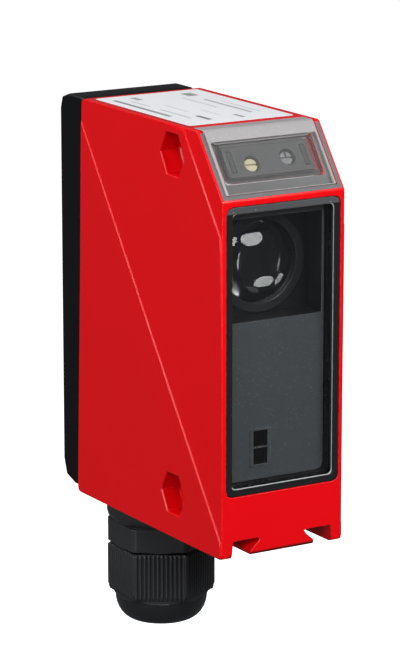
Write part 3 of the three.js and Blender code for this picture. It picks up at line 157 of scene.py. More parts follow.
class Effects:
    """Shader node groups that more than one finish uses."""

    def __init__(self) -> None:
        """Builds each group once."""
        self.grain = self._grain()
        self.edges = self._worn_and_highlit_edges()
        self.drift = self._drift()
        self.specks = self._specks()

    @staticmethod
    def _grain() -> bpy.types.NodeTree:
        """Returns the moulded grain: pits of one size with finer noise over them."""
        takes = {"Scale": 2000.0, "Roughen": 0.5}
        sheet, takes, gives = start_group("moulded_grain", takes, {"Height": "Float"})
        place = sheet.node("ShaderNodeTexCoord").outputs["Object"]
        sockets = {"Vector": place, "Scale": takes.outputs["Scale"]}
        pits = sheet.node("ShaderNodeTexVoronoi", sockets, feature="SMOOTH_F1").outputs["Distance"]
        fine = sheet.math("MULTIPLY", takes.outputs["Scale"], 1.9)
        noise = sheet.node("ShaderNodeTexNoise", {"Vector": place, "Scale": fine, "Detail": 2.0}).outputs[0]
        soft = sheet.math("MULTIPLY", noise, takes.outputs["Roughen"])
        sheet.feed(gives.inputs["Height"], sheet.math("ADD", pits, soft))
        return sheet.tree

    @staticmethod
    def _worn_and_highlit_edges() -> bpy.types.NodeTree:
        """Returns rounded edge normals and a broken mask of edges that are painted lighter: partly wear,
        partly a painted highlight.
        """
        takes = {"Radius": 0.0003, "Breakup": 900.0}
        sheet, takes, gives = start_group("worn_edges", takes, {"Mask": "Float", "Normal": "Vector"})
        rounded = sheet.node("ShaderNodeBevel", {"Radius": takes.outputs["Radius"]}, samples=6).outputs[0]
        flat = sheet.node("ShaderNodeNewGeometry").outputs["Normal"]
        both = {0: rounded, 1: flat}
        turn = sheet.node("ShaderNodeVectorMath", both, operation="DOT_PRODUCT").outputs["Value"]
        bent = sheet.ramp(turn, 0.995, 0.86)
        place = sheet.node("ShaderNodeTexCoord").outputs["Object"]
        sockets = {"Vector": place, "Scale": takes.outputs["Breakup"], "Detail": 3.0}
        chips = sheet.ramp(sheet.node("ShaderNodeTexNoise", sockets).outputs[0], 0.42, 0.62)
        sheet.feed(gives.inputs["Mask"], sheet.math("MULTIPLY", bent, chips, clamp=True))
        sheet.feed(gives.inputs["Normal"], rounded)
        return sheet.tree

    @staticmethod
    def _drift() -> bpy.types.NodeTree:
        """Returns a slow drift of tone and gloss over a surface."""
        takes = {"Tint": (0.5, 0.5, 0.5, 1.0), "Amount": 0.06, "Scale": 45.0}
        sheet, takes, gives = start_group("tone_drift", takes, {"Colour": "Color", "Gloss": "Float"})
        place = sheet.node("ShaderNodeTexCoord").outputs["Object"]
        sockets = {"Vector": place, "Scale": takes.outputs["Scale"], "Detail": 4.0, "Roughness": 0.6}
        noise = sheet.node("ShaderNodeTexNoise", sockets).outputs[0]
        centred = sheet.math("MULTIPLY", sheet.math("SUBTRACT", noise, 0.5), 2.0)
        swing = sheet.math("ADD", sheet.math("MULTIPLY", centred, takes.outputs["Amount"]), 1.0)
        tone = sheet.node("ShaderNodeVectorMath", {0: takes.outputs["Tint"], 3: swing}, operation="SCALE")
        sheet.feed(gives.inputs["Colour"], tone.outputs[0])
        sheet.feed(gives.inputs["Gloss"], centred)
        return sheet.tree

    @staticmethod
    def _specks() -> bpy.types.NodeTree:
        """Returns sparse small specks, as of dust or of flecks in a moulding."""
        sheet, takes, gives = start_group("fine_specks", {"Scale": 2600.0, "Share": 0.05}, {"Mask": "Float"})
        place = sheet.node("ShaderNodeTexCoord").outputs["Object"]
        sockets = {"Vector": place, "Scale": takes.outputs["Scale"]}
        cells = sheet.node("ShaderNodeTexVoronoi", sockets)
        pick = sheet.node("ShaderNodeSeparateColor", {0: cells.outputs["Color"]}).outputs[0]
        chosen = sheet.math("LESS_THAN", pick, takes.outputs["Share"])
        spot = sheet.ramp(cells.outputs["Distance"], 0.35, 0.15)
        sheet.feed(gives.inputs["Mask"], sheet.math("MULTIPLY", chosen, spot, clamp=True))
        return sheet.tree

    def place(self, sheet: ShaderSheet, tree: bpy.types.NodeTree, **values: object) -> bpy.types.Node:
        """Puts one group in a material's sheet, with its values, and returns the node."""
        made = sheet.node("ShaderNodeGroup", node_tree=tree)
        for name, value in values.items():
            sheet.feed(made.inputs[name], value)
        return made


# ---- Finishes ---------------------------------------------------------------
@dataclass(frozen=True)
class Finish:
    """An opaque finish with grain, rounded edges painted lighter as wear and as a painted highlight, and a
    faint drift of tone.
    """

    name: str
    tint: Colour
    roughness: float
    worn_and_highlight_tint: Colour
    edge_wear_and_highlight: float = 0.25
    metallic: float = 0.0
    specular: float = 0.5
    coat: float = 0.0
    grain_scale: float = 2200.0
    grain_depth: float = 0.00002
    gloss_swing: float = 0.05
    drift: float = 0.05
    edge_radius: float = 0.00025
    speck_tint: Colour = (0.5, 0.5, 0.5)
    speck_share: float = 0.02

    def build(self, effects: Effects) -> bpy.types.Material:
        """Makes the material.

        Args:
            effects: The shared node groups.

        Returns:
            The finished material.
        """
        made = bpy.data.materials.new(self.name)
        made.use_nodes = True
        made.node_tree.nodes.clear()
        sheet = ShaderSheet(made.node_tree)
        edges = effects.place(sheet, effects.edges, Radius=self.edge_radius)
        tone = effects.place(sheet, effects.drift, Tint=rgba(self.tint), Amount=self.drift)
        specks = effects.place(sheet, effects.specks, Share=self.speck_share)
        grain = effects.place(sheet, effects.grain, Scale=self.grain_scale)
        colour = self.pattern(sheet, tone.outputs["Colour"])
        colour = sheet.blend(specks.outputs[0], colour, rgba(self.speck_tint))
        # Edges take the lighter tint: partly wear, partly a painted highlight along them.
        share = sheet.math("MULTIPLY", edges.outputs["Mask"], self.edge_wear_and_highlight)
        colour = sheet.blend(share, colour, rgba(self.worn_and_highlight_tint))
        gloss = sheet.math("MULTIPLY", tone.outputs["Gloss"], self.gloss_swing)
        gloss = sheet.math("ADD", gloss, self.roughness, clamp=True)
        bump = {"Height": grain.outputs[0], "Distance": self.grain_depth, "Normal": edges.outputs["Normal"]}
        sockets = {
            "Base Color": colour,
            "Roughness": gloss,
            "Metallic": self.metallic,
            "Specular IOR Level": self.specular,
            "Coat Weight": self.coat,
            "Normal": sheet.node("ShaderNodeBump", bump).outputs[0],
        }
        shader = sheet.node("ShaderNodeBsdfPrincipled", sockets)
        sheet.node("ShaderNodeOutputMaterial", {"Surface": shader.outputs[0]})
        return made

    def pattern(self, sheet: ShaderSheet, colour: bpy.types.NodeSocket) -> bpy.types.NodeSocket:
        """Returns the colour unchanged; a finish with a printed or woven pattern adds it here."""
        return colour


@dataclass(frozen=True)
class PrintedFilm(Finish):
    """White film with plain grey bars and blocks printed on it."""

    bars: tuple = ()
    ink: Colour = (0.10, 0.105, 0.11)

    def pattern(self, sheet: ShaderSheet, colour: bpy.types.NodeSocket) -> bpy.types.NodeSocket:
        """Lays each bar over the film.

        Args:
            sheet: The material's sheet.
            colour: The film's colour.

        Returns:
            The film's colour with its bars.
        """
        place = sheet.node("ShaderNodeTexCoord").outputs["Object"]
        parts = sheet.node("ShaderNodeSeparateXYZ", {0: place})
        for x, y, half_x, half_y, strength in self.bars:
            beside = sheet.math("COMPARE", parts.outputs[0], x)
            along = sheet.math("COMPARE", parts.outputs[1], y)
            beside.node.inputs[2].default_value = half_x
            along.node.inputs[2].default_value = half_y
            inked = sheet.math("MULTIPLY", sheet.math("MULTIPLY", beside, along), strength)
            colour = sheet.blend(inked, colour, rgba(self.ink))
        return colour


@dataclass(frozen=True)
class ClearFinish:
    """Glass or clear plastic that lets lamp light through to what is behind it."""

    name: str
    tint: Colour
    roughness: float
    ior: float = 1.5
    smear: float = 0.0
    shade_tint: Colour = (1.0, 1.0, 1.0)
    grain_scale: float = 1500.0
    grain_depth: float = 0.0

    def build(self, effects: Effects) -> bpy.types.Material:
        """Makes the material.

        Args:
            effects: The shared node groups.

        Returns:
            The finished material.
        """
        made = bpy.data.materials.new(self.name)
        made.use_nodes = True
        made.node_tree.nodes.clear()
        sheet = ShaderSheet(made.node_tree)
        tone = effects.place(sheet, effects.drift, Tint=rgba(self.tint), Amount=0.01, Scale=120.0)
        gloss = sheet.math("MULTIPLY", tone.outputs["Gloss"], self.smear)
        gloss = sheet.math("ADD", gloss, self.roughness, clamp=True)
        grain = effects.place(sheet, effects.grain, Scale=self.grain_scale)
        bump = sheet.node("ShaderNodeBump", {"Height": grain.outputs[0], "Distance": self.grain_depth})
        sockets = {
            "Base Color": tone.outputs["Colour"],
            "Roughness": gloss,
            "IOR": self.ior,
            "Transmission Weight": 1.0,
            "Normal": bump.outputs[0],
        }
        glass = sheet.node("ShaderNodeBsdfPrincipled", sockets)
        open_way = sheet.node("ShaderNodeBsdfTransparent", {"Color": rgba(self.shade_tint)})
        rays = sheet.node("ShaderNodeLightPath").outputs
        lamp_ray = sheet.math("MAXIMUM", rays["Is Shadow Ray"], rays["Is Diffuse Ray"])
        mixed = sheet.node("ShaderNodeMixShader", {0: lamp_ray, 1: glass.outputs[0], 2: open_way.outputs[0]})
        sheet.node("ShaderNodeOutputMaterial", {"Surface": mixed.outputs[0]})
        return made


class Paint(Enum):
    """The finishes that the sensor is made in."""

    # The red's edge tint is a light pink: partly worn paint, partly a painted highlight along its edges.
    RED = Finish(
        "red_powder_coat", (0.76, 0.0012, 0.0042), 0.22, (0.95, 0.16, 0.17), edge_wear_and_highlight=0.3, specular=0.35,
        grain_scale=900.0, grain_depth=0.000006, drift=0.035, edge_radius=0.00035,
        speck_tint=(0.6, 0.01, 0.02), speck_share=0.01, gloss_swing=0.04,
    )
    GLOSS_BLACK = Finish(
        "gloss_black_moulding", (0.012, 0.012, 0.013), 0.13, (0.08, 0.08, 0.085), edge_wear_and_highlight=0.35,
        grain_scale=1200.0, grain_depth=0.000003, speck_share=0.008, speck_tint=(0.05, 0.05, 0.05),
    )
    TUNNEL_BLACK = Finish(
        "tunnel_black", (0.005, 0.005, 0.006), 0.28, (0.02, 0.02, 0.02), edge_wear_and_highlight=0.1, specular=0.25,
        grain_depth=0.000004, speck_share=0.0,
    )
    MASK_GREY = Finish(
        "mask_eroded_grey", (0.040, 0.044, 0.048), 0.5, (0.22, 0.23, 0.24), edge_wear_and_highlight=0.4,
        specular=0.2, grain_scale=2600.0, grain_depth=0.00004, drift=0.16,
        speck_tint=(0.10, 0.106, 0.112), speck_share=0.16,
    )
    CASE_BLACK = Finish(
        "case_black_grained", (0.003, 0.003, 0.0035), 0.4, (0.04, 0.04, 0.042), edge_wear_and_highlight=0.2, specular=0.2,
        grain_scale=3000.0, grain_depth=0.00003, drift=0.1, speck_tint=(0.014, 0.014, 0.015), speck_share=0.1,
    )
    GLAND_BLACK = Finish(
        "gland_black_polyamide", (0.026, 0.027, 0.029), 0.38, (0.12, 0.12, 0.125), edge_wear_and_highlight=0.25,
        grain_scale=3400.0, grain_depth=0.000014, drift=0.1, speck_tint=(0.05, 0.05, 0.052), speck_share=0.05,
    )
    DOME_BLACK = Finish(
        "gland_dome_black", (0.018, 0.0185, 0.0195), 0.2, (0.07, 0.07, 0.07), edge_wear_and_highlight=0.1,
        grain_scale=1500.0, grain_depth=0.000004, drift=0.1, speck_share=0.0,
    )
    PANEL_GREY = Finish(
        "panel_grey_matt", (0.03, 0.031, 0.0325), 0.5, (0.3, 0.3, 0.31), edge_wear_and_highlight=0.3,
        grain_scale=2600.0, grain_depth=0.00003, drift=0.1, speck_tint=(0.22, 0.22, 0.23), speck_share=0.08,
    )
    SEAT_GREY = Finish(
        "cover_seat_grey", (0.12, 0.12, 0.124), 0.5, (0.3, 0.3, 0.31), edge_wear_and_highlight=0.3,
        grain_scale=2200.0, grain_depth=0.00004, drift=0.2, speck_tint=(0.3, 0.29, 0.29), speck_share=0.12,
    )
    # Painted reflection: a lighter grey for the window frame's top band, standing in for the light from above
    # that it reflects.
    FRAME_SHEEN = Finish(
        "frame_top_sheen", (0.07, 0.074, 0.078), 0.2, (0.2, 0.2, 0.2), edge_wear_and_highlight=0.4,
        grain_scale=1800.0, grain_depth=0.000008, drift=0.2, speck_share=0.03,
    )
    CREAM = Finish(
        "rotor_cream", (0.62, 0.55, 0.33), 0.4, (0.8, 0.76, 0.6), edge_wear_and_highlight=0.3, grain_depth=0.00001, drift=0.1,
    )
    ROTOR_GREY = Finish(
        "rotor_grey", (0.2, 0.205, 0.21), 0.42, (0.42, 0.42, 0.43), edge_wear_and_highlight=0.35, grain_depth=0.00001, drift=0.1,
    )
    RUBBER = Finish(
        "seal_rubber", (0.012, 0.012, 0.013), 0.62, (0.05, 0.05, 0.05), edge_wear_and_highlight=0.15,
        grain_scale=2600.0, grain_depth=0.00002,
    )
    SMOKED = Finish(
        "smoked_light_guide", (0.02, 0.021, 0.024), 0.16, (0.1, 0.1, 0.1), edge_wear_and_highlight=0.2, grain_depth=0.000003,
    )
    EPOXY = Finish(
        "diode_epoxy", (0.05, 0.03, 0.06), 0.12, (0.12, 0.1, 0.13), edge_wear_and_highlight=0.1, grain_depth=0.000003, coat=0.4,
    )
    BOARD = Finish(
        "board_lacquer", (0.02, 0.11, 0.05), 0.32, (0.3, 0.27, 0.14), edge_wear_and_highlight=0.5,
        grain_scale=1100.0, grain_depth=0.00001, speck_tint=(0.6, 0.55, 0.4), speck_share=0.04,
    )
    COPPER_FLEX = Finish(
        "flex_film_amber", (0.35, 0.16, 0.03), 0.28, (0.5, 0.3, 0.1), edge_wear_and_highlight=0.3, grain_depth=0.000006,
    )
    STEEL = Finish(
        "zinc_plated_steel", (0.62, 0.63, 0.65), 0.3, (0.85, 0.85, 0.86), edge_wear_and_highlight=0.5, metallic=1.0,
        grain_scale=2400.0, grain_depth=0.000008, gloss_swing=0.12, speck_tint=(0.4, 0.4, 0.42),
    )
    BRASS = Finish(
        "terminal_brass", (0.62, 0.44, 0.19), 0.3, (0.85, 0.7, 0.4), edge_wear_and_highlight=0.5, metallic=1.0,
        grain_scale=2400.0, grain_depth=0.000008, gloss_swing=0.12, speck_tint=(0.4, 0.28, 0.12),
    )
    TERMINAL = Finish(
        "terminal_grey_green", (0.09, 0.12, 0.105), 0.46, (0.24, 0.28, 0.26), edge_wear_and_highlight=0.4,
        grain_scale=2200.0, grain_depth=0.00002, drift=0.1,
    )
    RIM_FROST = Finish(
        "cover_frosted_rim", (0.34, 0.325, 0.33), 0.36, (0.78, 0.75, 0.75), edge_wear_and_highlight=0.6,
        grain_scale=2600.0, grain_depth=0.00002, drift=0.12, speck_tint=(0.55, 0.53, 0.53), speck_share=0.08,
    )
    # A light grey for the glass's edge: a painted highlight along the rim of the window.
    GLASS_EDGE = Finish(
        "ground_glass_edge", (0.42, 0.44, 0.45), 0.2, (0.8, 0.82, 0.83), edge_wear_and_highlight=0.5,
        grain_scale=3000.0, grain_depth=0.00001, drift=0.2,
    )
    WINDOW = ClearFinish("window_glass", (0.97, 0.985, 0.98), 0.0, smear=0.01)
    LENS = ClearFinish("lens_glass", (0.95, 0.96, 0.955), 0.0, ior=1.52, smear=0.01)
    COVER = ClearFinish(
        "cover_clear_plastic", (0.80, 0.80, 0.80), 0.03, ior=1.46, smear=0.04, shade_tint=(0.9, 0.9, 0.9),
        grain_depth=0.000002,
    )


# ---- Mesh tools -------------------------------------------------------------
def finish_mesh(name: str, shape: bmesh.types.BMesh, sharp: float = SHARP_ANGLE) -> bpy.types.Object:
    """Turns a bmesh into a smooth-shaded object with sharp edges kept.

    Args:
        name: The piece's name.
        shape: The mesh, which is freed.
        sharp: Edges that turn by more than this stay sharp.

    Returns:
        The new object, linked to the scene, at the origin.
    """
    mesh = bpy.data.meshes.new(name)
    shape.to_mesh(mesh)
    shape.free()
    mesh.shade_smooth()
    mesh.set_sharp_from_angle(angle=sharp)
    made = bpy.data.objects.new(name, mesh)
    bpy.context.scene.collection.objects.link(made)
    weigh_normals(made)
    return made


def weigh_normals(piece: bpy.types.Object) -> None:
    """Bakes normals that keep a large flat face flat right up to its rounded edges."""
    modifier = piece.modifiers.new("weights", "WEIGHTED_NORMAL")
    modifier.keep_sharp, modifier.weight = True, 100
    graph = bpy.context.evaluated_depsgraph_get()
    baked = bpy.data.meshes.new_from_object(piece.evaluated_get(graph))
    plain = piece.data
    slots = [0] * len(plain.polygons)
    plain.polygons.foreach_get("material_index", slots)
    baked.polygons.foreach_set("material_index", slots)
    piece.modifiers.clear()
    piece.data = baked
    bpy.data.meshes.remove(plain)
    baked.name = piece.name


def carried_copy(node: str) -> bmesh.types.BMesh:
    """Returns a merged copy of a CAD node's mesh, with its flat faces joined up."""
    shape = bmesh.new()
    shape.from_mesh(frame["nodes"][node].data)
    bmesh.ops.remove_doubles(shape, verts=shape.verts[:], dist=MERGE_GAP)
    bmesh.ops.dissolve_limit(
        shape, angle_limit=FLAT_ANGLE, use_dissolve_boundaries=False,
        verts=shape.verts[:], edges=shape.edges[:], delimit=set(),
    )
    return shape


def lofted(rings: Sequence[Ring], closed: bool = False) -> bmesh.types.BMesh:
    """Joins rings of equal count into a skin.

    Args:
        rings: The rings in order; a skin that isn't closed gets an end face on each end.
        closed: True if the last ring joins the first.

    Returns:
        The skin, with faces outwards.
    """
    shape = bmesh.new()
    rows = [[shape.verts.new(point) for point in ring] for ring in rings]
    pairs = list(zip(rows, rows[1:])) + ([(rows[-1], rows[0])] if closed else [])
    for low, high in pairs:
        for i in range(len(low)):
            j = (i + 1) % len(low)
            shape.faces.new((low[i], low[j], high[j], high[i]))
    if not closed:
        shape.faces.new(rows[0][::-1])
        shape.faces.new(rows[-1])
    bmesh.ops.recalc_face_normals(shape, faces=shape.faces[:])
    return shape


def turned_rings(
    profile: Sequence[tuple[float, float]], centre: Vector, axis: str = "Z", segments: int = 96,
    reach: Callable[[float, float, float], float] | None = None,
) -> list[Ring]:
    """Lays rings round an axis.

    Args:
        profile: Radius and place along the axis of each ring.
        centre: A point on the axis; its place along the axis counts as 0.
        axis: "Z" or "Y".
        segments: Points in each ring.
        reach: Changes a point's radius from its radius, angle and place.

    Returns:
        One ring for each profile point.
    """
    rings = []
    for radius, along in profile:
        ring = []
        for i in range(segments):
            turn = TAU * i / segments
            out = reach(radius, turn, along) if reach else radius
            flat = (out * math.cos(turn), out * math.sin(turn))
            step = Vector((flat[0], flat[1], along)) if axis == "Z" else Vector((flat[0], along, flat[1]))
            ring.append(centre + step)
        rings.append(ring)
    return rings


def arc(centre: tuple[float, float], radius: float, start: float, end: float, steps: int) -> list:
    """Returns points of an arc in a profile, angles in degrees."""
    turns = [math.radians(start + (end - start) * i / steps) for i in range(steps + 1)]
    return [(centre[0] + radius * math.cos(t), centre[1] + radius * math.sin(t)) for t in turns]


def rounded_loop(half: float, low: float, high: float, corner: float, steps: int = 6) -> list:
    """Returns a rounded rectangle's points as (across, up), anticlockwise from the lower right."""
    spots = ((half - corner, low + corner, -90), (half - corner, high - corner, 0),
             (corner - half, high - corner, 90), (corner - half, low + corner, 180))
    return [point for x, z, turn in spots for point in arc((x, z), corner, turn, turn + 90, steps)]


def solid_bar(
    section: Sequence[tuple[float, float]], ends: Sequence[tuple[float, float]],
) -> bmesh.types.BMesh:
    """Makes an upright bar.

    Args:
        section: The bar's outline seen from above.
        ends: For each level, its height and how much the section is drawn in towards y 0.

    Returns:
        The bar as a closed mesh.
    """
    return lofted([[Vector((x, y * grow, z)) for x, y in section] for z, grow in ends])


class RowRoundAxis:
    """Geometry Nodes that repeat a shape in a row, and the row round an upright axis."""

    TAKES = {
        "Shape": "Object", "Row Count": "Int", "Row Start": "Vector", "Row Step": "Vector",
        "Ring Count": "Int", "Ring Start": "Float", "Axis Place": "Vector", "Finish": "Material",
    }

    def __init__(self) -> None:
        """Builds the tree."""
        tree = self.tree = bpy.data.node_groups.new("row_round_axis", "GeometryNodeTree")
        self.sockets = {
            name: tree.interface.new_socket(
                name=name, in_out="INPUT", socket_type="NodeSocket" + kind).identifier
            for name, kind in self.TAKES.items()
        }
        tree.interface.new_socket(name="Geometry", in_out="OUTPUT", socket_type="NodeSocketGeometry")
        sheet = ShaderSheet(tree)
        takes = sheet.node("NodeGroupInput").outputs
        row = {"Count": takes["Row Count"], "Start Location": takes["Row Start"], "Offset": takes["Row Step"]}
        line = sheet.node("GeometryNodeMeshLine", row, mode="OFFSET")
        shape = sheet.node("GeometryNodeObjectInfo", {"Object": takes["Shape"]})
        spots = {"Points": line.outputs[0], "Instance": shape.outputs["Geometry"]}
        bars = sheet.node("GeometryNodeInstanceOnPoints", spots)
        hubs = sheet.node("GeometryNodePoints", {"Count": takes["Ring Count"]})
        index = sheet.node("GeometryNodeInputIndex").outputs[0]
        turn = sheet.math("DIVIDE", sheet.math("MULTIPLY", index, TAU), takes["Ring Count"])
        turn = sheet.math("ADD", turn, takes["Ring Start"])
        spin = sheet.node("ShaderNodeCombineXYZ", {"Z": turn})
        ring = {"Points": hubs.outputs[0], "Instance": bars.outputs[0], "Rotation": spin.outputs[0]}
        rings = sheet.node("GeometryNodeInstanceOnPoints", ring)
        moved = {"Geometry": rings.outputs[0], "Translation": takes["Axis Place"]}
        placed = sheet.node("GeometryNodeTransform", moved)
        real = sheet.node("GeometryNodeRealizeInstances", {0: placed.outputs[0]})
        dressed = {"Geometry": real.outputs[0], "Material": takes["Finish"]}
        last = sheet.node("GeometryNodeSetMaterial", dressed)
        sheet.node("NodeGroupOutput", {0: last.outputs[0]})

    def bake(
        self, name: str, shape: bmesh.types.BMesh, finish: bpy.types.Material, **values: object,
    ) -> bpy.types.Object:
        """Repeats a shape and returns the result as a plain mesh.

        Args:
            name: The piece's name.
            shape: The shape that is repeated, which is used up.
            finish: The material of every copy.
            **values: The tree's other inputs, with _ for each space in a name.

        Returns:
            The piece, at the origin, with no modifier.
        """
        source = finish_mesh(name + "_source", shape)
        carrier = bpy.data.objects.new(name + "_carrier", bpy.data.meshes.new(name + "_empty"))
        bpy.context.scene.collection.objects.link(carrier)
        modifier = carrier.modifiers.new("row", "NODES")
        modifier.node_group = self.tree
        chosen = {"Ring Count": 1, "Ring Start": 0.0, "Axis Place": (0.0, 0.0, 0.0)}
        chosen.update({"Shape": source, "Finish": finish})
        chosen.update({key.replace("_", " "): value for key, value in values.items()})
        for key, value in chosen.items():
            modifier[self.sockets[key]] = value
        graph = bpy.context.evaluated_depsgraph_get()
        mesh = bpy.data.meshes.new_from_object(carrier.evaluated_get(graph))
        mesh.name = name
        for spare in (carrier, source):
            bpy.data.objects.remove(spare)
        mesh.shade_smooth()
        mesh.set_sharp_from_angle(angle=SHARP_ANGLE)
        made = bpy.data.objects.new(name, mesh)
        bpy.context.scene.collection.objects.link(made)
        return made


# ---- The shop that every sub-assembly works in ------------------------------
@dataclass
class Workshop:
    """Shared finishes and repeats, and the calls that put a piece on its body."""

    effects: Effects = field(default_factory=Effects)
    rows: RowRoundAxis = field(default_factory=RowRoundAxis)
    made: dict = field(default_factory=dict)

    def finish(self, paint: Paint | Finish) -> bpy.types.Material:
        """Returns a finish's material, built once."""
        recipe = paint.value if isinstance(paint, Paint) else paint
        if recipe.name not in self.made:
            self.made[recipe.name] = recipe.build(self.effects)
        return self.made[recipe.name]

    def coat(self, piece: bpy.types.Object, *paints: Paint | Finish) -> None:
        """Gives a piece its materials, one slot for each."""
        for paint in paints:
            piece.data.materials.append(self.finish(paint))

    def seat(self, piece: bpy.types.Object, body: str, slot: str, *stands_for: str) -> bpy.types.Object:
        """Puts a finished piece on its body.

        Args:
            piece: The piece, in place at rest.
            body: The CAD body that it rides on.
            slot: The record's material slot; not used.
            *stands_for: CAD nodes that it replaces.

        Returns:
            The piece.
        """
        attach(piece, body)
        if stands_for:
            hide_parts(*stands_for)
        LOG.info("%s rides on %s", piece.name, body)
        return piece

    def refine(self, node: str, body: str, slot: str, *paints: Paint | Finish) -> bpy.types.Object:
        """Replaces a CAD node with a merged, smooth-shaded copy in its finish."""
        piece = finish_mesh(node + "_skin", carried_copy(node))
        self.coat(piece, *paints)
        return self.seat(piece, body, slot, node)


def middle(node: str) -> Vector:
    """Returns the middle of a CAD node's box."""
    low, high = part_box(node)
    return (low + high) / 2


# ---- Sub-assemblies ---------------------------------------------------------
@dataclass
class Housing:
    """The die-cast housing with its label."""

    shop: Workshop
    window_lip: float = 1.2 * MM
    seat_edge: float = 0.3 * MM

    def build(self) -> None:
        """Builds the housing's skin and its label."""
        shape = carried_copy("housing")
        window_low, window_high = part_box("window_frame")
        cover_low, cover_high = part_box("clear_cover")
        seat_half, seat_top = cover_high.x - self.seat_edge, cover_high.z - self.seat_edge
        for face in shape.faces:
            spot = face.calc_center_median()
            # Faces deep in the window recess get the black tunnel finish: painted shade for the dark cavity
            # behind the glass.
            inside = abs(spot.x) < window_high.x and window_low.z < spot.z < window_high.z
            inside = inside and spot.y > window_low.y + self.window_lip
            seat = abs(spot.x) < seat_half and cover_low.z < spot.z < seat_top
            seat = seat and cover_low.y < spot.y < cover_high.y and face.normal.y < -0.5
            face.material_index = 1 if inside else 2 if seat else 0
        piece = finish_mesh("housing_skin", shape)
        self.shop.coat(piece, Paint.RED, Paint.TUNNEL_BLACK, Paint.SEAT_GREY)
        self.shop.seat(piece, "housing", "painted_red", "housing")
        low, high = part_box("rating_label")
        film = PrintedFilm(
            "label_film_printed", (0.90, 0.91, 0.935), 0.3, (0.9, 0.9, 0.9), grain_depth=0.000004,
            drift=0.03, speck_share=0.0, bars=self.bars(low, high),
        )
        self.shop.refine("rating_label", "housing", "label_film", film)

    @staticmethod
    def bars(low: Vector, high: Vector) -> tuple:
        """Lays out the label's plain bars and blocks.

        Args:
            low: The label's lowest corner.
            high: The label's highest corner.

        Returns:
            Middle, half sizes and strength of each bar.
        """
        wide, long = high.x - low.x, high.y - low.y
        rows = (
            (0.10, 0.60, 0.020, 0.30, 0.75), (0.20, 0.36, 0.010, 0.16, 0.5), (0.20, 0.72, 0.010, 0.10, 0.4),
            (0.30, 0.18, 0.022, 0.07, 0.85), (0.34, 0.50, 0.009, 0.12, 0.35), (0.48, 0.30, 0.009, 0.10, 0.3),
            (0.60, 0.14, 0.018, 0.05, 0.7), (0.66, 0.60, 0.012, 0.18, 0.35), (0.78, 0.44, 0.016, 0.24, 0.6),
            (0.86, 0.40, 0.008, 0.20, 0.4), (0.80, 0.86, 0.050, 0.05, 0.7), (0.30, 0.88, 0.030, 0.045, 0.6),
        )
        return tuple(
            (low.x + wide * x, low.y + long * y, wide * across, long * along, strength)
            for x, y, across, along, strength in rows
        )


@dataclass
class WindowUnit:
    """The glazed front: frame, glass, mask and tunnel."""

    shop: Workshop
    frame_band: float = 1.4 * MM
    frame_corner: float = 1.1 * MM
    bead_radius: float = 0.16 * MM
    border: float = 0.5 * MM

    def build(self) -> None:
        """Builds the frame, the glass and the mask."""
        self.bezel()
        self.shop.refine("front_window", "housing", "window_glass", Paint.WINDOW)
        self.edge_bead()
        self.mask()

    def bezel(self) -> None:
        """Gives the frame a black ring, with a painted reflection on its top band: a lighter grey where light
        from above would reflect.
        """
        shape = carried_copy("window_frame")
        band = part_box("window_frame")[1].z - self.frame_band
        parts = shape.verts[:] + shape.edges[:] + shape.faces[:]
        bmesh.ops.bisect_plane(shape, geom=parts, plane_co=(0, 0, band), plane_no=(0, 0, 1))
        for face in shape.faces:
            # Front faces of the top band get the painted reflection.
            painted_reflection_face = face.normal.y < -0.5 and face.calc_center_median().z > band
            face.material_index = 1 if painted_reflection_face else 0
        piece = finish_mesh("window_frame_skin", shape)
        self.shop.coat(piece, Paint.GLOSS_BLACK, Paint.FRAME_SHEEN)
        self.shop.seat(piece, "housing", "black_gloss", "window_frame")

    def edge_bead(self) -> None:
        """Lays a thin light grey bead round the frame's opening: the glass's edge, painted light as its
        highlight.
        """
        low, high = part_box("window_frame")
        half = high.x - self.frame_band
        path = rounded_loop(
            half, low.z + self.frame_band, high.z - self.frame_band, self.frame_corner)
        front = low.y + 2 * self.bead_radius
        centre = Vector((0, front, (low.z + high.z) / 2))
        rings = []
        for x, z in path:
            spot = Vector((x, front, z))
            inward = (centre - spot)
            inward.y = 0
            inward.normalize()
            turns = [TAU * i / 8 for i in range(8)]
            rings.append([
                spot + self.bead_radius * (math.cos(t) * inward + math.sin(t) * Vector((0, 1, 0)))
                for t in turns
            ])
        piece = finish_mesh("window_edge_bead", lofted(rings, closed=True))
        self.shop.coat(piece, Paint.GLASS_EDGE)
        self.shop.seat(piece, "housing", "window_glass")

    def mask(self) -> None:
        """Gives the mask its eroded front and a smooth black tunnel."""
        shape = carried_copy("aperture_mask")
        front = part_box("aperture_mask")[0].y
        for face in shape.faces:
            middle_y = face.calc_center_median().y
            outside = face.normal.y < -0.5 and middle_y < front + self.border
            face.material_index = 0 if outside else 1
        piece = finish_mesh("aperture_mask_skin", shape)
        self.shop.coat(piece, Paint.MASK_GREY, Paint.TUNNEL_BLACK)
        self.shop.seat(piece, "housing", "mask_plastic", "aperture_mask")


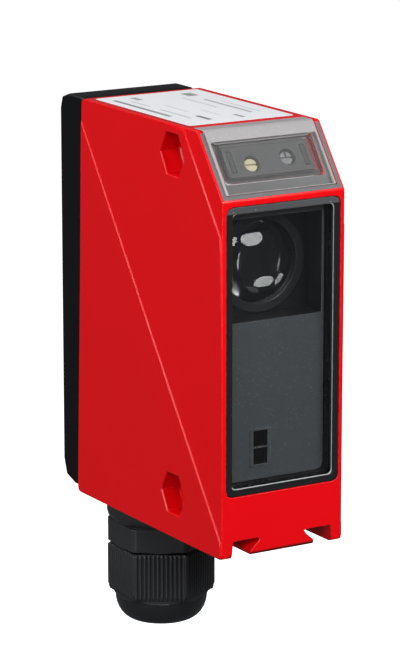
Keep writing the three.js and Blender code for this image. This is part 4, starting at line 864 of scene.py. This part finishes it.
@dataclass
class Optics:
    """The lens with its retainer, and the carrier with what it holds."""

    shop: Workshop
    front_sag: float = 3.4 * MM
    back_sag: float = 1.6 * MM
    steps: int = 22

    def build(self) -> None:
        """Builds the lens and dresses the carrier's pieces."""
        self.lens()
        self.retainer()
        self.shop.refine("optics_carrier", "housing", "black_plastic", Paint.TUNNEL_BLACK)
        self.shop.refine("beam_splitter", "housing", "lens_glass", Paint.LENS)
        for node in ("emitter_diode", "receiver_diode"):
            self.shop.refine(node, "housing", "diode_epoxy", Paint.EPOXY)

    def lens(self) -> None:
        """Turns the lens from two ground faces and a rim."""
        low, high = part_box("main_lens")
        radius = (high.x - low.x) / 2
        centre = Vector((0, 0, (low.z + high.z) / 2))

        def face(vertex: float, sag: float, toward: float) -> list[tuple[float, float]]:
            """Returns one face's profile from its vertex to its rim."""
            curve = (radius ** 2 + sag ** 2) / (2 * sag)
            radii = [radius * math.sin(math.pi / 2 * i / self.steps) for i in range(1, self.steps + 1)]
            return [(r, vertex + toward * (curve - math.sqrt(curve ** 2 - r ** 2))) for r in radii]

        front = face(low.y, self.front_sag, 1)
        back = face(high.y, self.back_sag, -1)
        piece = finish_mesh("main_lens_ground", lofted(turned_rings(front + back[::-1], centre, "Y")))
        self.shop.coat(piece, Paint.LENS)
        self.shop.seat(piece, "housing", "lens_glass", "main_lens")

    def retainer(self) -> None:
        """Turns the retainer ring with a bevelled inner lip."""
        low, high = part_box("lens_retainer")
        lens_low, lens_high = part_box("main_lens")
        outer = (high.x - low.x) / 2
        inner = (lens_high.x - lens_low.x) / 2 - 0.6 * MM
        edge = 0.12 * MM
        profile = [
            (inner, low.y + edge), (inner + edge, low.y), (outer - edge, low.y), (outer, low.y + edge),
            (outer, high.y - edge), (outer - edge, high.y), (inner + 3 * edge, high.y),
        ]
        centre = Vector((0, 0, (low.z + high.z) / 2))
        piece = finish_mesh("lens_retainer_ring", lofted(turned_rings(profile, centre, "Y"), closed=True))
        self.shop.coat(piece, Paint.GLOSS_BLACK)
        self.shop.seat(piece, "housing", "black_gloss", "lens_retainer")


@dataclass
class ControlBay:
    """The clear cover on the slope and the controls under it."""

    shop: Workshop
    rim: float = 0.6 * MM
    rim_top: float = 2.3 * MM

    def build(self) -> None:
        """Builds the cover and the controls."""
        self.cover()
        self.shop.refine("control_panel", "housing", "grey_plastic", Paint.PANEL_GREY)
        self.shop.refine("control_seal", "housing", "seal_rubber", Paint.RUBBER)
        self.shop.refine("sensitivity_rotor", "sensitivity_rotor", "cream_plastic", Paint.CREAM)
        self.shop.refine("mode_rotor", "mode_rotor", "grey_plastic", Paint.ROTOR_GREY)
        for node in ("status_light_left", "status_light_right"):
            self.shop.refine(node, "housing", "light_guide", Paint.SMOKED)
        self.shop.refine("sensitivity_trimmer", "housing", "cream_plastic", Paint.CREAM)
        self.shop.refine("mode_switch", "housing", "grey_plastic", Paint.ROTOR_GREY)
        self.shop.refine("control_board", "housing", "board_lacquer", Paint.BOARD)

    def cover(self) -> None:
        """Splits the cover's skin into a clear pane and a frosted rim."""
        shape = carried_copy("clear_cover")
        low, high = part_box("clear_cover")
        joint = next(j for j in frame["joints"] if j["child"] == "clear_cover")
        out = Vector(joint["axis"]).normalized()
        up = Vector((0, out.z, -out.y))
        foot = Vector((0, low.y, low.z))
        slope_top = (high - foot).dot(up)
        near, far = self.rim, self.slope_end(shape, up, foot, out) - self.rim_top
        half = high.x - self.rim
        cuts = ((Vector((half, 0, 0)), Vector((1, 0, 0))), (Vector((-half, 0, 0)), Vector((1, 0, 0))),
                (foot + up * near, up), (foot + up * far, up))
        for point, normal in cuts:
            parts = shape.verts[:] + shape.edges[:] + shape.faces[:]
            bmesh.ops.bisect_plane(shape, geom=parts, plane_co=point, plane_no=normal)
        for face in shape.faces:
            centre = face.calc_center_median()
            along = (centre - foot).dot(up)
            inner = abs(centre.x) < half and near < along < min(far, slope_top)
            face.material_index = 0 if inner else 1
        piece = finish_mesh("clear_cover_skin", shape)
        self.shop.coat(piece, Paint.COVER, Paint.RIM_FROST)
        self.shop.seat(piece, "clear_cover", "clear_plastic", "clear_cover")

    @staticmethod
    def slope_end(shape: bmesh.types.BMesh, up: Vector, foot: Vector, out: Vector) -> float:
        """Returns how far up the slope the cover's outer face reaches."""
        faces = [f for f in shape.faces if f.normal.dot(out) > 0.98]
        return max((v.co - foot).dot(up) for f in faces for v in f.verts)


@dataclass
class Electronics:
    """The boards behind the optics and what is mounted on them."""

    shop: Workshop
    part_pitch: float = 2.1 * MM

    def build(self) -> None:
        """Dresses the boards and sets small components on the main board."""
        for node in ("emitter_board", "receiver_board", "main_board"):
            self.shop.refine(node, "housing", "board_lacquer", Paint.BOARD)
        for node in ("processor_chip", "board_link", "terminal_link"):
            self.shop.refine(node, "housing", "black_plastic", Paint.CASE_BLACK)
        self.shop.refine("storage_capacitor", "housing", "screw_steel", Paint.STEEL)
        self.shop.refine("control_flex", "housing", "flex_film", Paint.COPPER_FLEX)
        for node in ("carrier_screw_left", "carrier_screw_right", "board_screw_upper", "board_screw_lower"):
            self.shop.refine(node, "housing", "screw_steel", Paint.STEEL)
        self.small_parts()

    def small_parts(self) -> None:
        """Repeats a chip resistor in a row along the front of the main board."""
        low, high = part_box("main_board")
        chip = solid_bar([(-0.4 * MM, -0.2 * MM), (0.4 * MM, -0.2 * MM), (0.4 * MM, 0), (-0.4 * MM, 0)],
                         ((0, 1), (0.9 * MM, 1)))
        piece = self.shop.rows.bake(
            "main_board_resistors", chip, self.shop.finish(Paint.CASE_BLACK), Row_Count=9,
            Row_Start=(high.x - 2.4 * MM, low.y, low.z + 10 * MM), Row_Step=(0, 0, self.part_pitch),
        )
        self.shop.seat(piece, "housing", "black_plastic")


@dataclass
class TerminalBay:
    """The rear cap, its screws and gasket, and the terminal block behind it."""

    shop: Workshop

    def build(self) -> None:
        """Dresses the rear cap and the terminals."""
        self.shop.refine("rear_cap", "rear_cap", "black_plastic", Paint.CASE_BLACK)
        self.shop.refine("rear_gasket", "housing", "seal_rubber", Paint.RUBBER)
        for place in ("upper", "lower"):
            node = "cap_screw_" + place
            self.shop.refine(node, node, "screw_steel", Paint.STEEL)
        self.shop.refine("terminal_block", "housing", "terminal_plastic", Paint.TERMINAL)
        for node in sorted(n for n in frame["nodes"] if n.startswith("terminal_screw_")):
            self.shop.refine(node, node, "terminal_brass", Paint.BRASS)


@dataclass
class CableGland:
    """The cable gland: threaded body, seals, clamp ring and ribbed nut."""

    shop: Workshop
    turn: float = math.radians(-32)
    thread_pitch: float = 1.5 * MM
    thread_depth: float = 0.55 * MM
    thread_crest: float = 9.2 * MM
    inner_thread: float = 7.85 * MM
    thread_steps: int = 60
    body_flat: float = 10.7 * MM
    body_hexagon: tuple[float, float] = (0.4 * MM, 5.9 * MM)
    flange: float = 12.2 * MM
    flange_edge: float = 0.45 * MM
    bore: float = 5.5 * MM
    seal_pocket: float = 6.9 * MM
    nut_flat: float = 10.55 * MM
    nut_tall: float = 11.6 * MM
    nut_root: float = 9.4 * MM
    nut_edge: float = 0.4 * MM
    dome: float = 10.38 * MM
    dome_flat: float = 6.2 * MM
    dome_steps: int = 16
    cable_hole: float = 4.8 * MM
    ribs: int = 12
    rib_height: float = 0.42 * MM
    corner_round: float = 0.35 * MM
    post_width: float = 0.3 * MM
    segments: int = 288

    def build(self) -> None:
        """Builds the body and the nut, and dresses the seals and the clamp ring."""
        self.body()
        self.nut()
        self.shop.refine("gland_flange_seal", "housing", "seal_rubber", Paint.RUBBER)
        self.shop.refine("gland_cable_seal", "housing", "seal_rubber", Paint.RUBBER)
        self.shop.refine("gland_clamp_ring", "gland_clamp", "black_plastic", Paint.GLAND_BLACK)

    def hexagon(self, flat: float, corner: float, phase: float) -> Callable[[float, float, float], float]:
        """Returns a reach that keeps a ring inside a hexagon.

        Args:
            flat: Distance from the axis to a flat.
            corner: The largest reach at a corner.
            phase: Direction of one flat.

        Returns:
            The smallest of the ring's own radius, the flat and the corner, by angle.
        """
        step = TAU / 6

        def reach(radius: float, turn: float, _along: float) -> float:
            """Returns the radius of one point of the ring."""
            off = (turn - phase + step / 2) % step - step / 2
            return min(radius, flat / math.cos(off), corner)

        return reach

    def body(self) -> None:
        """Lofts the flange, the hexagon, the outer thread and the bore."""
        low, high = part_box("gland_body")
        nut_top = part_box("gland_nut")[1].z
        axis = Vector((middle("gland_nut").x, middle("gland_nut").y, 0))
        flat, crest, inner_thread = self.body_flat, self.thread_crest, self.inner_thread
        flange, edge = self.flange, self.flange_edge
        hex_low, hex_high = (nut_top + gap for gap in self.body_hexagon)
        flange_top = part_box("gland_flange_seal")[1].z + 0.17 * MM
        hexagonal = self.hexagon(flat, flat / math.cos(TAU / 12) - self.corner_round, self.turn + TAU / 12)
        thread_low = low.z + 0.3 * MM
        pitch, depth = self.thread_pitch, self.thread_depth

        def reach(radius: float, turn: float, along: float) -> float:
            """Returns a point's radius: hexagon, thread or plain."""
            if hex_low - 1e-6 <= along <= hex_high + 1e-6 and radius > crest + MM:
                return hexagonal(radius, turn, along)
            if thread_low <= along < hex_low - 0.2 * MM and radius == crest:
                phase = (along / pitch - turn / TAU) % 1
                return radius - depth * abs(2 * phase - 1)
            return radius

        big = flange + MM
        count, tall = self.thread_steps, hex_low - 0.25 * MM - thread_low
        threads = [(crest, thread_low + tall * i / count) for i in range(count + 1)]
        outer = [
            (inner_thread - 0.4 * MM, high.z), (inner_thread, high.z - 0.4 * MM), (inner_thread, flange_top),
            (flange - edge, flange_top), (flange - 0.12 * MM, flange_top - 0.14 * MM),
            (flange, flange_top - edge),
            (flange, hex_high + 2.2 * MM), (flange - 0.2 * MM, hex_high + 1.4 * MM),
            (flange - 0.7 * MM, hex_high + 0.6 * MM), (flange - 1.5 * MM, hex_high + 0.02 * MM),
            (big, hex_high), (big, hex_high - 0.1 * MM), (big, hex_low + 0.3 * MM), (flat, hex_low),
            (crest, hex_low - 0.22 * MM),
        ]
        bore = [
            (crest - 0.9 * MM, low.z), (self.seal_pocket, low.z), (self.seal_pocket, hex_low - 0.5 * MM),
            (self.bore, hex_low - 0.5 * MM), (self.bore, high.z),
        ]
        profile = outer + threads[::-1] + bore
        rings = turned_rings(profile, axis, segments=self.segments, reach=reach)
        piece = finish_mesh("gland_body_moulding", lofted(rings, closed=True))
        self.shop.coat(piece, Paint.GLAND_BLACK)
        self.shop.seat(piece, "housing", "black_plastic", "gland_body")

    def nut(self) -> None:
        """Lofts the nut's hexagon and dome, then sets its ribs on the flats."""
        low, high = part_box("gland_nut")
        axis = Vector((middle("gland_nut").x, middle("gland_nut").y, 0))
        across = self.nut_flat
        flat = across - self.rib_height
        dome_top = high.z - self.nut_tall
        corner = across / math.cos(TAU / 12) - 0.1 * MM
        dome, ring_flat, hole = self.dome, self.dome_flat, self.cable_hole
        root, edge = self.nut_root, self.nut_edge
        drop = dome_top - low.z
        steps = self.dome_steps
        rounding = [
            (ring_flat + (dome - ring_flat) * math.cos(math.pi / 2 * i / steps),
             dome_top - drop * math.sin(math.pi / 2 * i / steps)) for i in range(steps + 1)
        ]
        profile = [
            (root, high.z - edge), (root + edge, high.z), (corner - edge, high.z), (corner, high.z - edge),
            (corner, dome_top + 2.1 * MM), (corner - 0.6 * MM, dome_top + 1.2 * MM),
            (dome + 0.1 * MM, dome_top + 0.05 * MM),
            *rounding, (hole + edge, low.z), (hole, low.z + edge), (hole, dome_top - 1.5 * MM),
            (7.4 * MM, dome_top), (8.8 * MM, dome_top + 2.8 * MM), (root, dome_top + 3 * MM),
        ]
        phase = self.turn + math.pi / 2
        sunk, full = self.hexagon(flat, corner, phase), self.hexagon(across, corner, phase)
        post = flat * math.tan(TAU / 12) - self.post_width

        def reach(radius: float, turn: float, along: float) -> float:
            """Returns a point's radius: the ribs' sunk floor, a corner post, or plain round."""
            if along <= dome_top + 0.02 * MM:
                return radius
            off = (turn - phase + TAU / 12) % (TAU / 6) - TAU / 12
            side = abs(full(radius, turn, along) * math.sin(off))
            return (full if side > post else sunk)(radius, turn, along)

        rings = turned_rings(profile, axis, segments=self.segments, reach=reach)
        shape = lofted(rings, closed=True)
        for face in shape.faces:
            face.material_index = 1 if face.calc_center_median().z < dome_top + 0.03 * MM else 0
        piece = finish_mesh("gland_nut_moulding", shape)
        self.shop.coat(piece, Paint.GLAND_BLACK, Paint.DOME_BLACK)
        self.shop.seat(piece, "gland_nut", "black_plastic", "gland_nut")
        self.nut_ribs(axis, flat, dome_top, high.z, phase)

    def nut_ribs(self, axis: Vector, flat: float, low: float, high: float, phase: float) -> None:
        """Sets rows of grip ribs on the six flats.

        Args:
            axis: A point on the nut's axis.
            flat: Distance from the axis to a flat.
            low: The flats' lower end.
            high: The flats' upper end.
            phase: Direction of one flat.
        """
        width = 2 * flat * math.tan(TAU / 12)
        pitch = width / self.ribs
        across, tall = pitch * 0.34, self.rib_height
        section = [(-across, 0.0002), (-across, -tall * 0.45), (-across * 0.5, -tall * 0.9), (0, -tall),
                   (across * 0.5, -tall * 0.9), (across, -tall * 0.45), (across, 0.0002)]
        levels = ((low + 0.75 * MM, 0.15), (low + 1.5 * MM, 1.0),
                  (high - 0.5 * MM, 1.0), (high - 0.15 * MM, 0.4))
        piece = self.shop.rows.bake(
            "gland_nut_ribs", solid_bar(section, levels), self.shop.finish(Paint.GLAND_BLACK),
            Row_Count=self.ribs, Row_Start=(-(self.ribs - 1) / 2 * pitch, -flat, 0), Row_Step=(pitch, 0, 0),
            Ring_Count=6, Ring_Start=phase + math.pi / 2, Axis_Place=tuple(axis),
        )
        self.shop.seat(piece, "gland_nut", "black_plastic")


# ---- Studio -----------------------------------------------------------------
@dataclass
class Softbox:
    """One rectangular studio lamp."""

    name: str
    azimuth: float
    elevation: float
    distance: float
    size: tuple[float, float]
    level: float

    def build(self, target: Vector) -> None:
        """Adds the lamp, aimed at a point; a white face turned to it then shines at its level."""
        lamp = bpy.data.lights.new(self.name, "AREA")
        power = self.level * math.pi ** 2 * self.distance ** 2
        lamp.shape, lamp.size, lamp.size_y, lamp.energy = "ELLIPSE", *self.size, power
        made = bpy.data.objects.new(self.name, lamp)
        made.location = target + self.distance * direction(self.azimuth, self.elevation)
        made.rotation_euler = (made.location - target).to_track_quat("Z", "Y").to_euler()
        bpy.context.scene.collection.objects.link(made)


def direction(azimuth: float, elevation: float) -> Vector:
    """Returns the way to a viewer at an azimuth and elevation in degrees."""
    a, e = math.radians(azimuth), math.radians(elevation)
    return Vector((math.sin(a) * math.cos(e), -math.cos(a) * math.cos(e), math.sin(e)))


@dataclass
class Studio:
    """Pale floor, soft lamps and the camera."""

    azimuth: float = -31.17
    elevation: float = 13.43
    distance: float = 0.7017
    lens: float = 176.82
    target: tuple[float, float, float] = (-0.00526, 0.005, 0.04263)
    floor_drop: float = 0.11
    lamps: tuple[Softbox, ...] = (
        Softbox("key_softbox", 12, 30, 0.60, (0.40, 0.24), 0.80),
        Softbox("side_softbox", -88, 20, 0.60, (0.24, 0.44), 0.50),
        Softbox("front_softbox", -28, 32, 0.60, (0.22, 0.26), 0.38),
        Softbox("edge_strip", -58, -8, 0.60, (0.04, 0.30), 0.10),
        Softbox("slope_veil", 46, 46, 0.60, (0.26, 0.26), 0.06),
        Softbox("rear_rim", 200, 55, 0.60, (0.35, 0.25), 0.42),
    )

    def build(self) -> None:
        """Builds the floor, the surroundings, the lamps and the camera."""
        aim = Vector(self.target)
        for lamp in self.lamps:
            lamp.build(aim)
        self.surroundings()
        self.floor()
        camera = bpy.data.cameras.new("studio_camera")
        camera.lens, camera.sensor_width, camera.clip_start = self.lens, 36.0, 0.01
        made = bpy.data.objects.new("studio_camera", camera)
        made.location = aim + self.distance * direction(self.azimuth, self.elevation)
        made.rotation_euler = direction(self.azimuth, self.elevation).to_track_quat("Z", "Y").to_euler()
        bpy.context.scene.collection.objects.link(made)
        bpy.context.scene.camera = made
        bpy.context.scene.view_settings.view_transform = "Standard"

    @staticmethod
    def surroundings() -> None:
        """Sets white surroundings that light the object only dimly."""
        world = bpy.data.worlds.new("studio_world")
        bpy.context.scene.world = world
        world.use_nodes = True
        world.node_tree.nodes.clear()
        sheet = ShaderSheet(world.node_tree)
        seen = sheet.node("ShaderNodeBackground", {"Color": (1, 1, 1, 1), "Strength": 1.0})
        cast = sheet.node("ShaderNodeBackground", {"Color": (0.9, 0.95, 1.0, 1), "Strength": 0.10})
        straight = sheet.node("ShaderNodeLightPath").outputs["Is Camera Ray"]
        mixed = sheet.node("ShaderNodeMixShader", {0: straight, 1: cast.outputs[0], 2: seen.outputs[0]})
        sheet.node("ShaderNodeOutputWorld", {"Surface": mixed.outputs[0]})

    def floor(self) -> None:
        """Adds the pale floor, which lamps light but gloss doesn't show."""
        shape = bmesh.new()
        bmesh.ops.create_grid(shape, x_segments=8, y_segments=8, size=3.0)
        level = CAD_BOX[0].z - self.floor_drop
        bmesh.ops.translate(shape, verts=shape.verts[:], vec=(0, 0, level))
        piece = finish_mesh("studio_floor", shape)
        made = bpy.data.materials.new("studio_floor_pale")
        made.use_nodes = True
        sheet = ShaderSheet(made.node_tree)
        shader = made.node_tree.nodes["Principled BSDF"]
        place = sheet.node("ShaderNodeTexCoord").outputs["Object"]
        noise = sheet.node("ShaderNodeTexNoise", {"Vector": place, "Scale": 30.0, "Detail": 4.0}).outputs[0]
        tone = sheet.blend(noise, (0.93, 0.93, 0.93, 1), (0.97, 0.97, 0.97, 1))
        sheet.feed(shader.inputs["Base Color"], tone)
        sheet.feed(shader.inputs["Roughness"], 0.9)
        shader.inputs["Emission Color"].default_value = (1, 1, 1, 1)
        shader.inputs["Emission Strength"].default_value = 0.93
        piece.data.materials.append(made)
        piece.visible_glossy = False
        piece.visible_diffuse = False
        piece.visible_transmission = False


def main() -> None:
    """Builds every sub-assembly in order and reports it."""
    logging.basicConfig(level=logging.INFO, format="%(name)s: %(message)s")
    shop = Workshop()
    for assembly in (Housing, WindowUnit, Optics, ControlBay, Electronics, TerminalBay, CableGland):
        assembly(shop).build()
        LOG.info("%s done", assembly.__name__)
    Studio().build()


if __name__ == "__main__":
    main()
